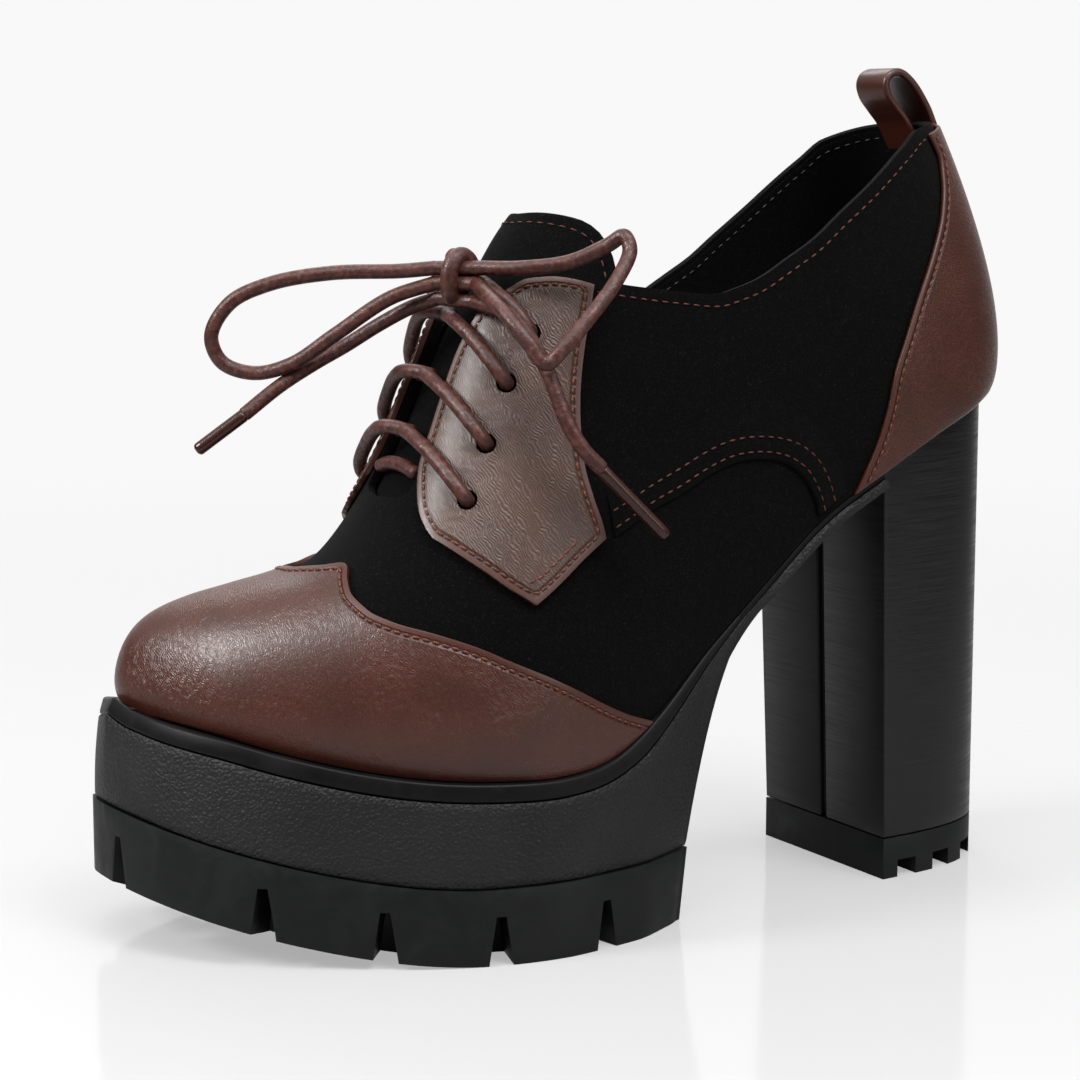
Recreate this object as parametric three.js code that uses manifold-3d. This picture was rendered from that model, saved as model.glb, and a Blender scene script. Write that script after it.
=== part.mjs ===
// Heeled oxford shoe, left foot: a lace-up with a platform forefoot and a tall block heel.
// Millimetres. The toe points to -Y, the heel to +Y, the outer side of the foot to +X, up is +Z.
// The origin is the middle of the flat tread patch under the ball, on the floor.

import * as THREE from 'three';
import { mergeVertices } from 'three/addons/utils/BufferGeometryUtils.js';
import Module from 'manifold-3d';

const wasm = await Module();
wasm.setup();

// Driving dimensions of the last and the upper
const lastLength = 215;
const ballHalfWidth = 42;
const platformHeight = 40.8;
const seatRise = 74.2;
const crownHeight = 100;
const heelSwell = 9;
const tuckDepth = 2.4;
const tuckShare = 0.3;
const wall = 1.8;
const overlay = 1.3;
const gap = 0.3;

// Driving dimensions of the sole unit
const outsoleHeight = 17;
const toeSpring = 10.5;
const rimHeight = 4;
const rimWaistHeight = 1.2;
const waistThickness = 2.6;
const outsoleFlare = 0.5;
const notchHeight = 11;
const notchDepth = 10;
const notchTopWidth = 2.2;
const notchBaseWidth = 5.6;

// Driving dimensions of the heel
const heelWidth = 50;
const heelDepth = 40.5;
const breastPlace = 100;
const breastLean = 3;
const heelTopFlare = 1.06;
const topPieceHeight = 10;
const grooveWidth = 2.4;
const grooveDepth = 1.6;
const slotWidth = 6;
const slotHeight = 4.2;
const slotPitch = 12;
const slotDepth = 9;

// Driving dimensions of the small pieces
const insoleThickness = 2.4;
const tongueThickness = 2.2;
const seamStep = 0.9;
const laceDiameter = 3.3;
const holeDiameter = 4.6;
const loopWidth = 12;
const loopThickness = 1.5;
const loopHeight = 12.3;
const loopReach = 16;

// The last, one row for each station from the toe tip to the back of the heel.
// base and crownAt are shares of the last's length from the origin, rise is a share of the seat's
// rise, crown of the crown height, outer, inner, swing and crest of the ball's half width, tuck of
// the tuck's depth and swell of the heel's swell. square is the section's superellipse power.
const stationColumns = [
  'base', 'rise', 'crownAt', 'crown', 'outer', 'inner', 'swing', 'crest', 'square', 'tuck', 'swell',
];
const stations = [
  [-0.3315, 0.148, -0.344, 0.118, 0, 0, -0.571, 0, 2.3, 0, -0.29],
  [-0.328, 0.144, -0.3345, 0.166, 0.195, 0.195, -0.56, 0.012, 2.3, 0.25, -0.27],
  [-0.3168, 0.134, -0.3122, 0.217, 0.383, 0.359, -0.524, 0.029, 2.3, 0.5, -0.22],
  [-0.2905, 0.113, -0.2788, 0.267, 0.563, 0.515, -0.452, 0.06, 2.3, 0.75, -0.13],
  [-0.2431, 0.073, -0.2373, 0.328, 0.73, 0.658, -0.357, 0.107, 2.25, 0.92, -0.04],
  [-0.1851, 0.035, -0.1917, 0.391, 0.874, 0.778, -0.262, 0.155, 2.2, 1, 0],
  [-0.1255, 0.011, -0.155, 0.459, 0.984, 0.865, -0.179, 0.167, 2.1, 1, 0],
  [-0.0605, 0, -0.121, 0.562, 1.059, 0.94, -0.119, 0.143, 2, 1, 0],
  [0.0045, 0, -0.085, 0.707, 1.06, 0.929, -0.071, 0.107, 2, 1, 0],
  [0.0675, 0.032, -0.049, 0.858, 1, 0.857, -0.048, 0.071, 2.05, 1, 0],
  [0.1325, 0.143, -0.0115, 0.956, 0.917, 0.774, -0.024, 0.048, 2.1, 0.92, 0],
  [0.2, 0.307, 0.037, 1.014, 0.845, 0.702, -0.012, 0.024, 2.2, 0.83, 0],
  [0.277, 0.49, 0.1165, 1.048, 0.798, 0.69, 0, 0, 2.3, 0.83, 0],
  [0.358, 0.68, 0.2185, 1.047, 0.774, 0.702, 0, 0, 2.4, 0.83, 0.15],
  [0.442, 0.815, 0.316, 1.033, 0.762, 0.714, 0, 0, 2.45, 0.83, 0.35],
  [0.513, 0.912, 0.3925, 1.01, 0.714, 0.69, 0, 0, 2.45, 0.83, 0.6],
  [0.578, 0.979, 0.45, 0.99, 0.595, 0.583, 0, 0, 2.4, 0.67, 0.85],
  [0.625, 1.024, 0.485, 0.977, 0.369, 0.369, 0, 0, 2.35, 0.38, 0.97],
  [0.643, 1.04, 0.498, 0.97, 0, 0, 0, 0, 2.35, 0, 1],
].map((row) => Object.fromEntries(row.map((value, i) => [stationColumns[i], value])));
const lastStation = stations.length - 1;
const mirroredColumns = ['outer', 'inner'];

// A column of the table as one smooth curve. At both ends a half width carries on to the other
// side with its sign turned, and every other column is mirrored, so the toe and heel are round.
function column(name, at) {
  const clamped = Math.min(Math.max(at, 0), lastStation);
  const row = Math.min(Math.floor(clamped), lastStation - 1);
  const t = clamped - row;
  const sign = mirroredColumns.includes(name) ? -1 : 1;
  const value = (i) => {
    if (i < 0) return sign * stations[-i][name];
    if (i > lastStation) return sign * stations[2 * lastStation - i][name];
    return stations[i][name];
  };
  const [p0, p1, p2, p3] = [value(row - 1), value(row), value(row + 1), value(row + 2)];
  const m1 = (p2 - p0) / 2;
  const m2 = (p3 - p1) / 2;
  const t2 = t * t;
  const t3 = t2 * t;
  return (2 * t3 - 3 * t2 + 1) * p1 + (t3 - 2 * t2 + t) * m1 + (3 * t2 - 2 * t3) * p2 + (t3 - t2) * m2;
}

const baseHeight = (at) => platformHeight + seatRise * column('rise', at);
const basePlace = (at) => lastLength * column('base', at);

// A point of the last: at is the station, up runs from 0 at the base to 1 at the crown,
// side is 1 on the outer half and -1 on the inner half.
function lastPoint(at, up, side) {
  const angle = (up * Math.PI) / 2;
  const power = column('square', at);
  const across = Math.abs(Math.cos(angle));
  const along = Math.abs(Math.sin(angle));
  const radius = (across ** power + along ** power) ** (-1 / power);
  const half = ballHalfWidth * column(side > 0 ? 'outer' : 'inner', at);
  const height = radius * along;
  const tuck = half > 0 ? tuckDepth * column('tuck', at) * Math.max(0, 1 - height / tuckShare) ** 2 : 0;
  const swell = heelSwell * column('swell', at) * Math.sin(Math.PI * Math.min(height, 1) ** 0.6);
  const lean = lastLength * (column('crownAt', at) - column('base', at));
  return new THREE.Vector3(
    ballHalfWidth * (column('swing', at) + column('crest', at) * height ** 1.5)
      + side * (half * radius * across - tuck),
    basePlace(at) + lean * height + swell,
    baseHeight(at) + crownHeight * column('crown', at) * height,
  );
}

// The direction square to the base line, in the side view
function baseNormal(at) {
  const step = 0.05;
  const dy = basePlace(at + step) - basePlace(at - step);
  const dz = baseHeight(at + step) - baseHeight(at - step);
  const slope = Math.abs(dy) > 1e-4 ? dz / dy : 0;
  return new THREE.Vector3(0, -slope, 1).normalize();
}

// The direction square to the last's surface on one half
function halfNormal(at, up, side) {
  const step = 1e-3;
  const nearAt = Math.min(Math.max(at, 0.02), lastStation - 0.02);
  const nearUp = Math.min(Math.max(up, 0.002), 0.985);
  const alongStations = lastPoint(nearAt + step, nearUp, side).sub(lastPoint(nearAt - step, nearUp, side));
  const upwards = lastPoint(nearAt, nearUp + step, side).sub(lastPoint(nearAt, nearUp - step, side));
  return alongStations.cross(upwards).multiplyScalar(side).normalize();
}

const baseBand = 0.06;

// The last's surface moved outwards by a distance. Close to the base the move stays in the
// plane of the base, so walls and overlays all end on the same plane. The two halves share
// one direction along the crown, the toe tip and the back seam.
function surface(at, up, side, outwards) {
  const point = lastPoint(at, up, side);
  if (outwards === 0) return point;
  const normal = halfNormal(at, up, side);
  const onSeam = at < 1e-6 || at > lastStation - 1e-6 || up > 0.9999;
  if (onSeam) normal.add(halfNormal(at, up, -side)).setX(0).normalize();
  const level = 1 - THREE.MathUtils.smoothstep(up, 0, baseBand);
  if (level > 0) {
    const square = baseNormal(at);
    const flat = new THREE.Vector3(normal.x, normal.y, 0).normalize();
    flat.addScaledVector(square, -flat.dot(square)).normalize();
    normal.lerp(flat, level).normalize();
  }
  return point.addScaledVector(normal, outwards);
}

// A polyline through rows of two columns, as a function of the first
function through(rows, from, to) {
  return (value) => {
    if (value <= rows[0][from]) return rows[0][to];
    for (let i = 1; i < rows.length; i += 1) {
      if (value <= rows[i][from]) {
        const t = (value - rows[i - 1][from]) / (rows[i][from] - rows[i - 1][from]);
        return THREE.MathUtils.lerp(rows[i - 1][to], rows[i][to], t);
      }
    }
    return rows[rows.length - 1][to];
  };
}

// The surface in one sweep over the crown: across is 1 at the outer base, 0 at the crown and
// -1 at the inner base.
const over = (at, across, outwards) => surface(at, 1 - Math.abs(across), across < 0 ? -1 : 1, outwards);

// Collects triangles and makes one closed body of them
class Body {
  constructor() {
    this.corners = [];
  }

  triangle(a, b, c) {
    this.corners.push(a.x, a.y, a.z, b.x, b.y, b.z, c.x, c.y, c.z);
  }

  quad(a, b, c, d) {
    this.triangle(a, b, c);
    this.triangle(a, c, d);
  }

  // A grid of points as a surface; flipped turns its faces round and keeps their diagonals
  sheet(grid, flipped = false) {
    for (let i = 0; i + 1 < grid.length; i += 1) {
      for (let j = 0; j + 1 < grid[i].length; j += 1) {
        const ring = [grid[i][j], grid[i + 1][j], grid[i + 1][j + 1], grid[i][j + 1]];
        if (flipped) [ring[1], ring[3]] = [ring[3], ring[1]];
        this.quad(...ring);
      }
    }
  }

  strip(first, second) {
    for (let i = 0; i + 1 < first.length; i += 1) {
      this.quad(first[i], second[i], second[i + 1], first[i + 1]);
    }
  }

  solid() {
    const geometry = new THREE.BufferGeometry();
    geometry.setAttribute('position', new THREE.Float32BufferAttribute(this.corners, 3));
    return solidOf(geometry);
  }
}

function solidOf(geometry) {
  const bare = geometry.clone();
  for (const name of Object.keys(bare.attributes)) {
    if (name !== 'position') bare.deleteAttribute(name);
  }
  const merged = mergeVertices(bare, 1e-4);
  const position = merged.attributes.position;
  const kept = [];
  for (let i = 0; i < merged.index.count; i += 3) {
    const [a, b, c] = [merged.index.getX(i), merged.index.getX(i + 1), merged.index.getX(i + 2)];
    if (a !== b && b !== c && c !== a) kept.push(a, b, c);
  }
  return new wasm.Manifold(new wasm.Mesh({
    numProp: 3,
    vertProperties: new Float32Array(position.array),
    triVerts: new Uint32Array(kept),
  }));
}

// Edges shorter than this are joined, so that no sliver is left along a cut
const finestEdge = 0.03;

function geometryOf(solid) {
  const mesh = solid.asOriginal().simplify(finestEdge).getMesh();
  const geometry = new THREE.BufferGeometry();
  geometry.setAttribute('position', new THREE.BufferAttribute(new Float32Array(mesh.vertProperties), 3));
  geometry.setIndex(new THREE.BufferAttribute(new Uint32Array(mesh.triVerts), 1));
  geometry.computeVertexNormals();
  return geometry;
}

const steps = (count, make) => Array.from({ length: count + 1 }, (_, i) => make(i / count, i));
const transpose = (grid) => grid[0].map((_, j) => grid.map((row) => row[j]));

// A shell between two grids of the same size: outer, inner and the four edges. An end where
// the two halves of the shoe meet on one line is left open, and merging closes it.
function shell(outer, inner, startMeets = false, endMeets = false) {
  const body = new Body();
  body.sheet(outer);
  body.sheet(inner, true);
  const last = outer.length - 1;
  const end = outer[0].length - 1;
  if (!startMeets) body.strip(inner[0], outer[0]);
  if (!endMeets) body.strip(outer[last], inner[last]);
  body.strip(transpose(outer)[0], transpose(inner)[0]);
  body.strip(transpose(inner)[end], transpose(outer)[end]);
  return body.solid();
}

// A loft through rings of four corners: outer top, outer foot, inner foot, inner top. At the
// toe tip the two sides meet on one line.
function loft(rings, startMeets, endMeets) {
  const body = new Body();
  for (let i = 0; i + 1 < rings.length; i += 1) {
    const [here, next] = [rings[i], rings[i + 1]];
    for (let k = 0; k < here.length; k += 1) {
      const m = (k + 1) % here.length;
      body.quad(here[k], here[m], next[m], next[k]);
    }
  }
  const cap = (ring) => body.quad(ring[0], ring[3], ring[2], ring[1]);
  if (!startMeets) cap(rings[0]);
  if (!endMeets) cap([...rings[rings.length - 1]].reverse());
  return body.solid();
}

// The collar's edge from the throat to the back seam: up on the outer half, inner how far the
// inner half's edge lies below it, both as shares of the half section
const throatStation = 7.2;
const collar = [
  { at: 7.2, up: 1, inner: 0 },
  { at: 7.3, up: 0.9, inner: 0 },
  { at: 7.5, up: 0.85, inner: 0 },
  { at: 8, up: 0.855, inner: 0 },
  { at: 9.3, up: 0.86, inner: 0 },
  { at: 9.8, up: 0.835, inner: 0 },
  { at: 10.15, up: 0.78, inner: 0 },
  { at: 10.5, up: 0.722, inner: 0 },
  { at: 10.85, up: 0.64, inner: 0.004 },
  { at: 11.2, up: 0.56, inner: 0.012 },
  { at: 11.6, up: 0.485, inner: 0.022 },
  { at: 12, up: 0.425, inner: 0.032 },
  { at: 12.5, up: 0.368, inner: 0.04 },
  { at: 13, up: 0.35, inner: 0.042 },
  { at: 13.5, up: 0.354, inner: 0.042 },
  { at: 14, up: 0.371, inner: 0.042 },
  { at: 14.5, up: 0.388, inner: 0.04 },
  { at: 15, up: 0.408, inner: 0.036 },
  { at: 15.5, up: 0.428, inner: 0.03 },
  { at: 16, up: 0.444, inner: 0.02 },
  { at: 17, up: 0.439, inner: 0.005 },
  { at: 18, up: 0.435, inner: 0 },
];
const outerCollar = through(collar, 'at', 'up');
const innerDrop = through(collar, 'at', 'inner');
const collarUp = (at, side) => outerCollar(at) - (side < 0 ? innerDrop(at) : 0);

const formLines = [
  0, 0.35, 0.7, 1, 1.5, 2, 2.6, 3.2, 3.8, 4.5, 5.2, 5.9, 6.6, 7.3, 8, 8.7, 9.35, 9.95, 10.5, 11,
  11.4, 11.8, 12.2, 12.7, 13.2, 13.8, 14.5, 15.2, 15.8, 16.3, 16.7, 17.1, 17.4, 17.7, 18,
];
const formRings = 8;

// A hollow form of the last's shape between two distances from its surface, open at the base
function hollowForm(outwards, inwards) {
  const body = new Body();
  const half = (side, distance) => formLines.map((at) => (
    steps(formRings, (up) => surface(at, up, side, distance))
  ));
  const foot = (grid) => grid.map((row) => row[0]);
  for (const side of [1, -1]) {
    const [outer, inner] = [half(side, outwards), half(side, inwards)];
    body.sheet(outer, side < 0);
    body.sheet(inner, side > 0);
    if (side > 0) body.strip(foot(outer), foot(inner));
    else body.strip(foot(inner), foot(outer));
  }
  return body.solid();
}

const cutReach = 4;

// A cutter over the throat and the collar: at each station it runs from one edge over the crown
// to the other edge, and back across the inside
const openingLines = [...new Set([
  ...collar.map((row) => row.at),
  ...formLines.filter((at) => at > throatStation),
])].sort((a, b) => a - b);
const openingRings = 4;

function openingCutter() {
  const ring = (at) => {
    const half = (side) => steps(openingRings, (t) => (
      surface(at, THREE.MathUtils.lerp(collarUp(at, side), 1, t), side, cutReach)
    ));
    return [
      surface(at, collarUp(at, -1), -1, -wall - cutReach),
      ...half(-1),
      ...half(1).reverse().slice(1),
      surface(at, collarUp(at, 1), 1, -wall - cutReach),
    ];
  };
  return loft(openingLines.map(ring), true, true);
}

// Upper: one hollow shell of the last's form, open at the throat and the collar
const makeUpper = () => hollowForm(0, -wall).subtract(openingCutter());

// The quarter's curved lower edge, a raised band fused to the wall: edge is its stepped lower
// line and fade the line where it sinks back into the wall
const quarterSeam = [
  { edgeAt: 10.08, edgeUp: 0.266, fadeAt: 10.2, fadeUp: 0.318 },
  { edgeAt: 10.4, edgeUp: 0.25, fadeAt: 10.6, fadeUp: 0.3 },
  { edgeAt: 10.8, edgeUp: 0.23, fadeAt: 11, fadeUp: 0.28 },
  { edgeAt: 11.23, edgeUp: 0.208, fadeAt: 11.35, fadeUp: 0.26 },
  { edgeAt: 11.55, edgeUp: 0.196, fadeAt: 11.7, fadeUp: 0.246 },
  { edgeAt: 11.85, edgeUp: 0.183, fadeAt: 12.05, fadeUp: 0.232 },
  { edgeAt: 12.1, edgeUp: 0.168, fadeAt: 12.4, fadeUp: 0.205 },
  { edgeAt: 12.35, edgeUp: 0.145, fadeAt: 12.7, fadeUp: 0.172 },
  { edgeAt: 12.57, edgeUp: 0.117, fadeAt: 12.93, fadeUp: 0.134 },
  { edgeAt: 12.74, edgeUp: 0.083, fadeAt: 13.1, fadeUp: 0.092 },
  { edgeAt: 12.84, edgeUp: 0.045, fadeAt: 13.2, fadeUp: 0.05 },
  { edgeAt: 12.88, edgeUp: 0.012, fadeAt: 13.24, fadeUp: 0.012 },
];
const seamSink = 0.6;

function makeSeamBand(side) {
  const rowsOf = (edgeOut, fadeOut) => quarterSeam.map((row) => {
    const pair = [
      surface(row.edgeAt, row.edgeUp, side, edgeOut),
      surface(row.fadeAt, row.fadeUp, side, fadeOut),
    ];
    return side > 0 ? pair : pair.reverse();
  });
  return shell(rowsOf(seamStep, -seamSink / 2), rowsOf(-seamSink, -seamSink));
}

// Lace holes, alike on both sides: station and height on the facing
const laceHoles = [
  { at: 8.07, up: 0.625 },
  { at: 8.77, up: 0.64 },
  { at: 9.5, up: 0.65 },
  { at: 10.15, up: 0.64 },
];
const holeSides = 8;

function holeCutter(hole, side) {
  const reach = 6;
  const inside = surface(hole.at, hole.up, side, -reach);
  const outside = surface(hole.at, hole.up, side, reach);
  const axis = outside.clone().sub(inside);
  const cylinder = new THREE.CylinderGeometry(holeDiameter / 2, holeDiameter / 2, axis.length(), holeSides);
  const turn = new THREE.Quaternion().setFromUnitVectors(new THREE.Vector3(0, 1, 0), axis.clone().normalize());
  cylinder.applyQuaternion(turn);
  const middle = inside.add(outside).multiplyScalar(0.5);
  cylinder.translate(middle.x, middle.y, middle.z);
  return solidOf(cylinder);
}

function withHoles(solid, side) {
  return laceHoles.reduce((left, hole) => left.subtract(holeCutter(hole, side)), solid);
}

// Toe cap: a wingtip whose back edge runs from one side of the base over the crown to the other
const capEdge = [
  { across: -1, at: 9.9 },
  { across: -0.958, at: 9.7 },
  { across: -0.883, at: 9.3 },
  { across: -0.808, at: 8.9 },
  { across: -0.733, at: 8.52 },
  { across: -0.65, at: 8.08 },
  { across: -0.567, at: 7.6 },
  { across: -0.483, at: 7.07 },
  { across: -0.408, at: 6.55 },
  { across: -0.317, at: 5.83 },
  { across: -0.233, at: 5.3 },
  { across: -0.142, at: 5.04 },
  { across: -0.06, at: 5.03 },
  { across: 0.06, at: 5.35 },
  { across: 0.142, at: 5.77 },
  { across: 0.233, at: 5.53 },
  { across: 0.317, at: 5.4 },
  { across: 0.408, at: 5.53 },
  { across: 0.483, at: 5.9 },
  { across: 0.567, at: 6.5 },
  { across: 0.65, at: 7.07 },
  { across: 0.733, at: 7.6 },
  { across: 0.808, at: 8.17 },
  { across: 0.883, at: 8.8 },
  { across: 0.958, at: 9.43 },
  { across: 1, at: 9.8 },
];
const overlayOutside = gap + overlay;
const overlayLayer = hollowForm(overlayOutside, gap);

// A thick patch round a part of the upper, to cut overlays out of their layer: grid is a
// function of the distance outwards
const patchInside = -2;
const patchOutside = 4;
const patch = (grid, startMeets = false) => shell(grid(patchOutside), grid(patchInside), startMeets);

// A point as over gives it; beyond the base it goes on below the base
function beyond(at, across, outwards) {
  const point = over(at, THREE.MathUtils.clamp(across, -1, 1), outwards);
  return Math.abs(across) > 1 ? point.addScaledVector(baseNormal(at), -cutReach) : point;
}

function makeToeCap() {
  const lines = 7;
  const capAt = through(capEdge, 'across', 'at');
  const shares = capEdge.map((row) => row.across).filter((across) => across > 0);
  const rows = [2, ...[...shares].reverse(), 0, ...shares.map((a) => -a), -2];
  const grid = (outwards) => steps(lines, (t) => rows.map((a) => beyond(t * capAt(a), a, outwards)));
  return overlayLayer.intersect(patch(grid, true));
}

// Eyestay: four edges of nine points each, in station and height
const eyestayFront = [
  { at: 7.3, up: 0.658 }, { at: 7.31, up: 0.7 }, { at: 7.4, up: 0.755 }, { at: 7.63, up: 0.808 },
  { at: 7.9, up: 0.842 }, { at: 8.3, up: 0.852 }, { at: 8.8, up: 0.857 }, { at: 9.27, up: 0.856 },
  { at: 9.77, up: 0.83 },
];
const eyestayBack = [
  { at: 9.9, up: 0.283 }, { at: 9.93, up: 0.308 }, { at: 9.94, up: 0.342 }, { at: 10, up: 0.392 },
  { at: 10.17, up: 0.435 }, { at: 10.37, up: 0.467 }, { at: 10.63, up: 0.495 }, { at: 10.95, up: 0.525 },
  { at: 11.17, up: 0.552 },
];
const eyestayFoot = [
  { at: 7.3, up: 0.658 }, { at: 7.42, up: 0.6 }, { at: 7.58, up: 0.533 }, { at: 7.78, up: 0.465 },
  { at: 8, up: 0.4 }, { at: 8.33, up: 0.327 }, { at: 8.85, up: 0.314 }, { at: 9.35, up: 0.302 },
  { at: 9.9, up: 0.283 },
];
const eyestayTop = [
  { at: 9.77, up: 0.83 }, { at: 9.97, up: 0.8 }, { at: 10.17, up: 0.768 }, { at: 10.32, up: 0.742 },
  { at: 10.47, up: 0.717 }, { at: 10.64, up: 0.678 }, { at: 10.8, up: 0.642 }, { at: 11, up: 0.594 },
  { at: 11.17, up: 0.552 },
];

// A patch inside four edges, blended from all of them
function patchPoint(front, back, foot, top, i, j) {
  const count = front.length - 1;
  const [a, b] = [i / count, j / count];
  const blend = (key) => (1 - a) * front[j][key] + a * back[j][key] + (1 - b) * foot[i][key] + b * top[i][key]
    - (1 - a) * (1 - b) * front[0][key] - a * (1 - b) * back[0][key]
    - (1 - a) * b * front[count][key] - a * b * back[count][key];
  return { at: blend('at'), up: blend('up') };
}

function makeEyestay(side) {
  const count = eyestayFront.length - 1;
  const grid = (outwards) => steps(count, (_, i) => {
    const row = steps(count, (__, j) => {
      const { at, up } = patchPoint(eyestayFront, eyestayBack, eyestayFoot, eyestayTop, i, j);
      return surface(at, up, side, outwards);
    });
    return side > 0 ? row : row.reverse();
  });
  return withHoles(overlayLayer.intersect(patch(grid)), side);
}

// Counter: wraps round the back of the heel, behind a curved front edge on each side
const counterEdge = [
  { up: 0, at: 13.42 }, { up: 0.03, at: 13.58 }, { up: 0.058, at: 13.74 }, { up: 0.108, at: 13.97 },
  { up: 0.158, at: 14.17 }, { up: 0.192, at: 14.4 }, { up: 0.233, at: 14.73 }, { up: 0.275, at: 15.2 },
  { up: 0.317, at: 15.67 }, { up: 0.358, at: 15.97 }, { up: 0.395, at: 16.16 }, { up: 0.43, at: 16.12 },
];

const backOverlap = 0.5;

function makeCounter() {
  const lines = 4;
  const edge = [{ up: -1, at: counterEdge[0].at }, ...counterEdge];
  const half = (side) => {
    const grid = (outwards) => steps(lines, (t) => {
      const row = edge.map(({ at, up }) => {
        const station = THREE.MathUtils.lerp(at, lastStation, t);
        const point = surface(station, Math.max(up, 0), side, outwards);
        if (up < 0) point.addScaledVector(baseNormal(station), -cutReach);
        if (t === 1) point.x = -side * backOverlap;
        return point;
      });
      return side > 0 ? row : row.reverse();
    });
    return patch(grid);
  };
  return overlayLayer.intersect(half(1).add(half(-1)));
}

// Tongue: under the facings, with a rounded top that leans back from the crown line
const tongueFoot = 6.9;
const tongueTop = 11;
const tongueTopRound = 0.85;
const tongueFootReach = 0.26;
const tongueTopReach = 0.5;
const tongueDrop = 2.2;
const tongueClear = 0.7;

function makeTongue() {
  const [lines, rows] = [10, 8];
  const grid = (depth) => steps(lines, (t) => steps(rows, (r) => {
    const across = 1 - 2 * r;
    const top = tongueTop + tongueTopRound * across * across;
    const reach = THREE.MathUtils.lerp(tongueFootReach, tongueTopReach, t);
    const at = THREE.MathUtils.lerp(tongueFoot, top, t);
    return over(at, across * reach, -depth - tongueDrop * t * t * t);
  }));
  const depth = wall + tongueClear;
  return shell(grid(depth), grid(depth + tongueThickness));
}

// Insole: the flat sock inside the wall, on the plane of the base
function baseEdge(at, side, outwards, below) {
  return surface(at, 0, side, outwards).addScaledVector(baseNormal(at), -below);
}

function makeInsole() {
  const inset = -(wall + gap);
  const lines = [...new Set([...formLines, ...rearFace.map((row) => row.at), waistEnd])].sort((p, q) => p - q);
  return loft(lines.map((at) => [
    baseEdge(at, 1, inset, -insoleThickness),
    baseEdge(at, 1, inset, 0),
    baseEdge(at, -1, inset, 0),
    baseEdge(at, -1, inset, -insoleThickness),
  ]), true, true);
}

// How far each layer of the sole stands out from the upper's base, by station
const soleReach = [
  { at: 0, rim: 7.6, foot: 11 },
  { at: 3, rim: 6.6, foot: 8.6 },
  { at: 5, rim: 5, foot: 4.8 },
  { at: 7, rim: 3.6, foot: 2.6 },
  { at: 8.5, rim: 3, foot: 1.8 },
  { at: 9.5, rim: 2.2, foot: 1.2 },
  { at: 10.3, rim: 1, foot: -1.4 },
  { at: 10.7, rim: 0.6, foot: -3 },
  { at: 11, rim: 0.3, foot: -4.5 },
  { at: 11.6, rim: 0.2, foot: -3 },
  { at: 12.25, rim: 0, foot: 0 },
  { at: 18, rim: 0, foot: 0 },
];
const rimReach = through(soleReach, 'at', 'rim');
const footReach = through(soleReach, 'at', 'foot');

const rimRows = [
  { at: 9.5, share: 0 },
  { at: 11.6, share: 1 },
];
const waistShare = through(rimRows, 'at', 'share');
const rimThickness = (at) => THREE.MathUtils.lerp(rimHeight, rimWaistHeight, waistShare(at));

// The station whose base lies at a place along the shoe
function stationAt(place) {
  let [low, high] = [0, lastStation];
  const halvings = 40;
  for (let i = 0; i < halvings; i += 1) {
    const middle = (low + high) / 2;
    if (basePlace(middle) < place) low = middle;
    else high = middle;
  }
  return (low + high) / 2;
}

const breastTop = breastPlace - breastLean;
const waistEnd = stationAt(breastTop - gap - waistThickness);
const waistLines = [...formLines.filter((at) => at < waistEnd - 0.1), waistEnd];

function makeRim() {
  return loft(platformLines.map((at) => {
    const below = gap + rimThickness(at);
    return [
      baseEdge(at, 1, rimReach(at), gap),
      baseEdge(at, 1, rimReach(at), below),
      baseEdge(at, -1, rimReach(at), below),
      baseEdge(at, -1, rimReach(at), gap),
    ];
  }), true, false);
}

// The tread lifts from the floor towards the toe
const springStart = -0.079;
const springPower = 1.8;
const toeTip = stations[0].base * lastLength;

function treadHeight(y) {
  const from = springStart * lastLength;
  const share = Math.max(0, (from - y) / (from - toeTip));
  return toeSpring * share ** springPower;
}

// A point on the edge of the tread unit, at a height above its bearing face
function treadEdge(at, side, outwards, above) {
  const point = surface(at, 0, side, outwards);
  point.z = treadHeight(point.y) + above;
  return point;
}

// The platform's rear face: drop is how far its foot lies down from the waist's underside to the
// tread unit, pull how far it is drawn forwards, as a share of the last's length
const rearFace = [
  { at: 11, drop: 1, pull: 0.0255 },
  { at: 11.15, drop: 0.807, pull: 0.0285 },
  { at: 11.3, drop: 0.603, pull: 0.031 },
  { at: 11.45, drop: 0.415, pull: 0.032 },
  { at: 11.6, drop: 0.264, pull: 0.031 },
  { at: 11.8, drop: 0.143, pull: 0.026 },
  { at: 12, drop: 0.058, pull: 0.017 },
  { at: 12.25, drop: 0, pull: 0 },
];
const rearDrop = through(rearFace, 'at', 'drop');
const rearPull = through(rearFace, 'at', 'pull');
const rearStart = rearFace[0].at;

function platformFoot(at, side, flare = 0) {
  if (at < rearStart) {
    const foot = treadEdge(at, side, footReach(at) + flare, outsoleHeight + gap);
    const blendFrom = 9.8;
    if (at <= blendFrom) return foot;
    const corner = platformFoot(rearStart, side, flare);
    const share = (at - blendFrom) / (rearStart - blendFrom);
    foot.y = THREE.MathUtils.lerp(foot.y, corner.y - (rearStart - at) * 13, share);
    return foot;
  }
  const under = baseEdge(at, side, footReach(at) + flare, 2 * gap + rimThickness(at) + waistThickness);
  const tread = outsoleHeight + gap;
  under.z -= rearDrop(at) * (under.z - tread);
  under.y -= rearPull(at) * lastLength;
  return under;
}

const platformLines = [...new Set([...waistLines, ...rearFace.map((row) => row.at)])].sort((a, b) => a - b);

function makePlatform() {
  return loft(platformLines.map((at) => {
    const below = 2 * gap + rimThickness(at);
    return [
      baseEdge(at, 1, rimReach(at), below),
      platformFoot(at, 1),
      platformFoot(at, -1),
      baseEdge(at, -1, rimReach(at), below),
    ];
  }), true, false);
}

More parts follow.
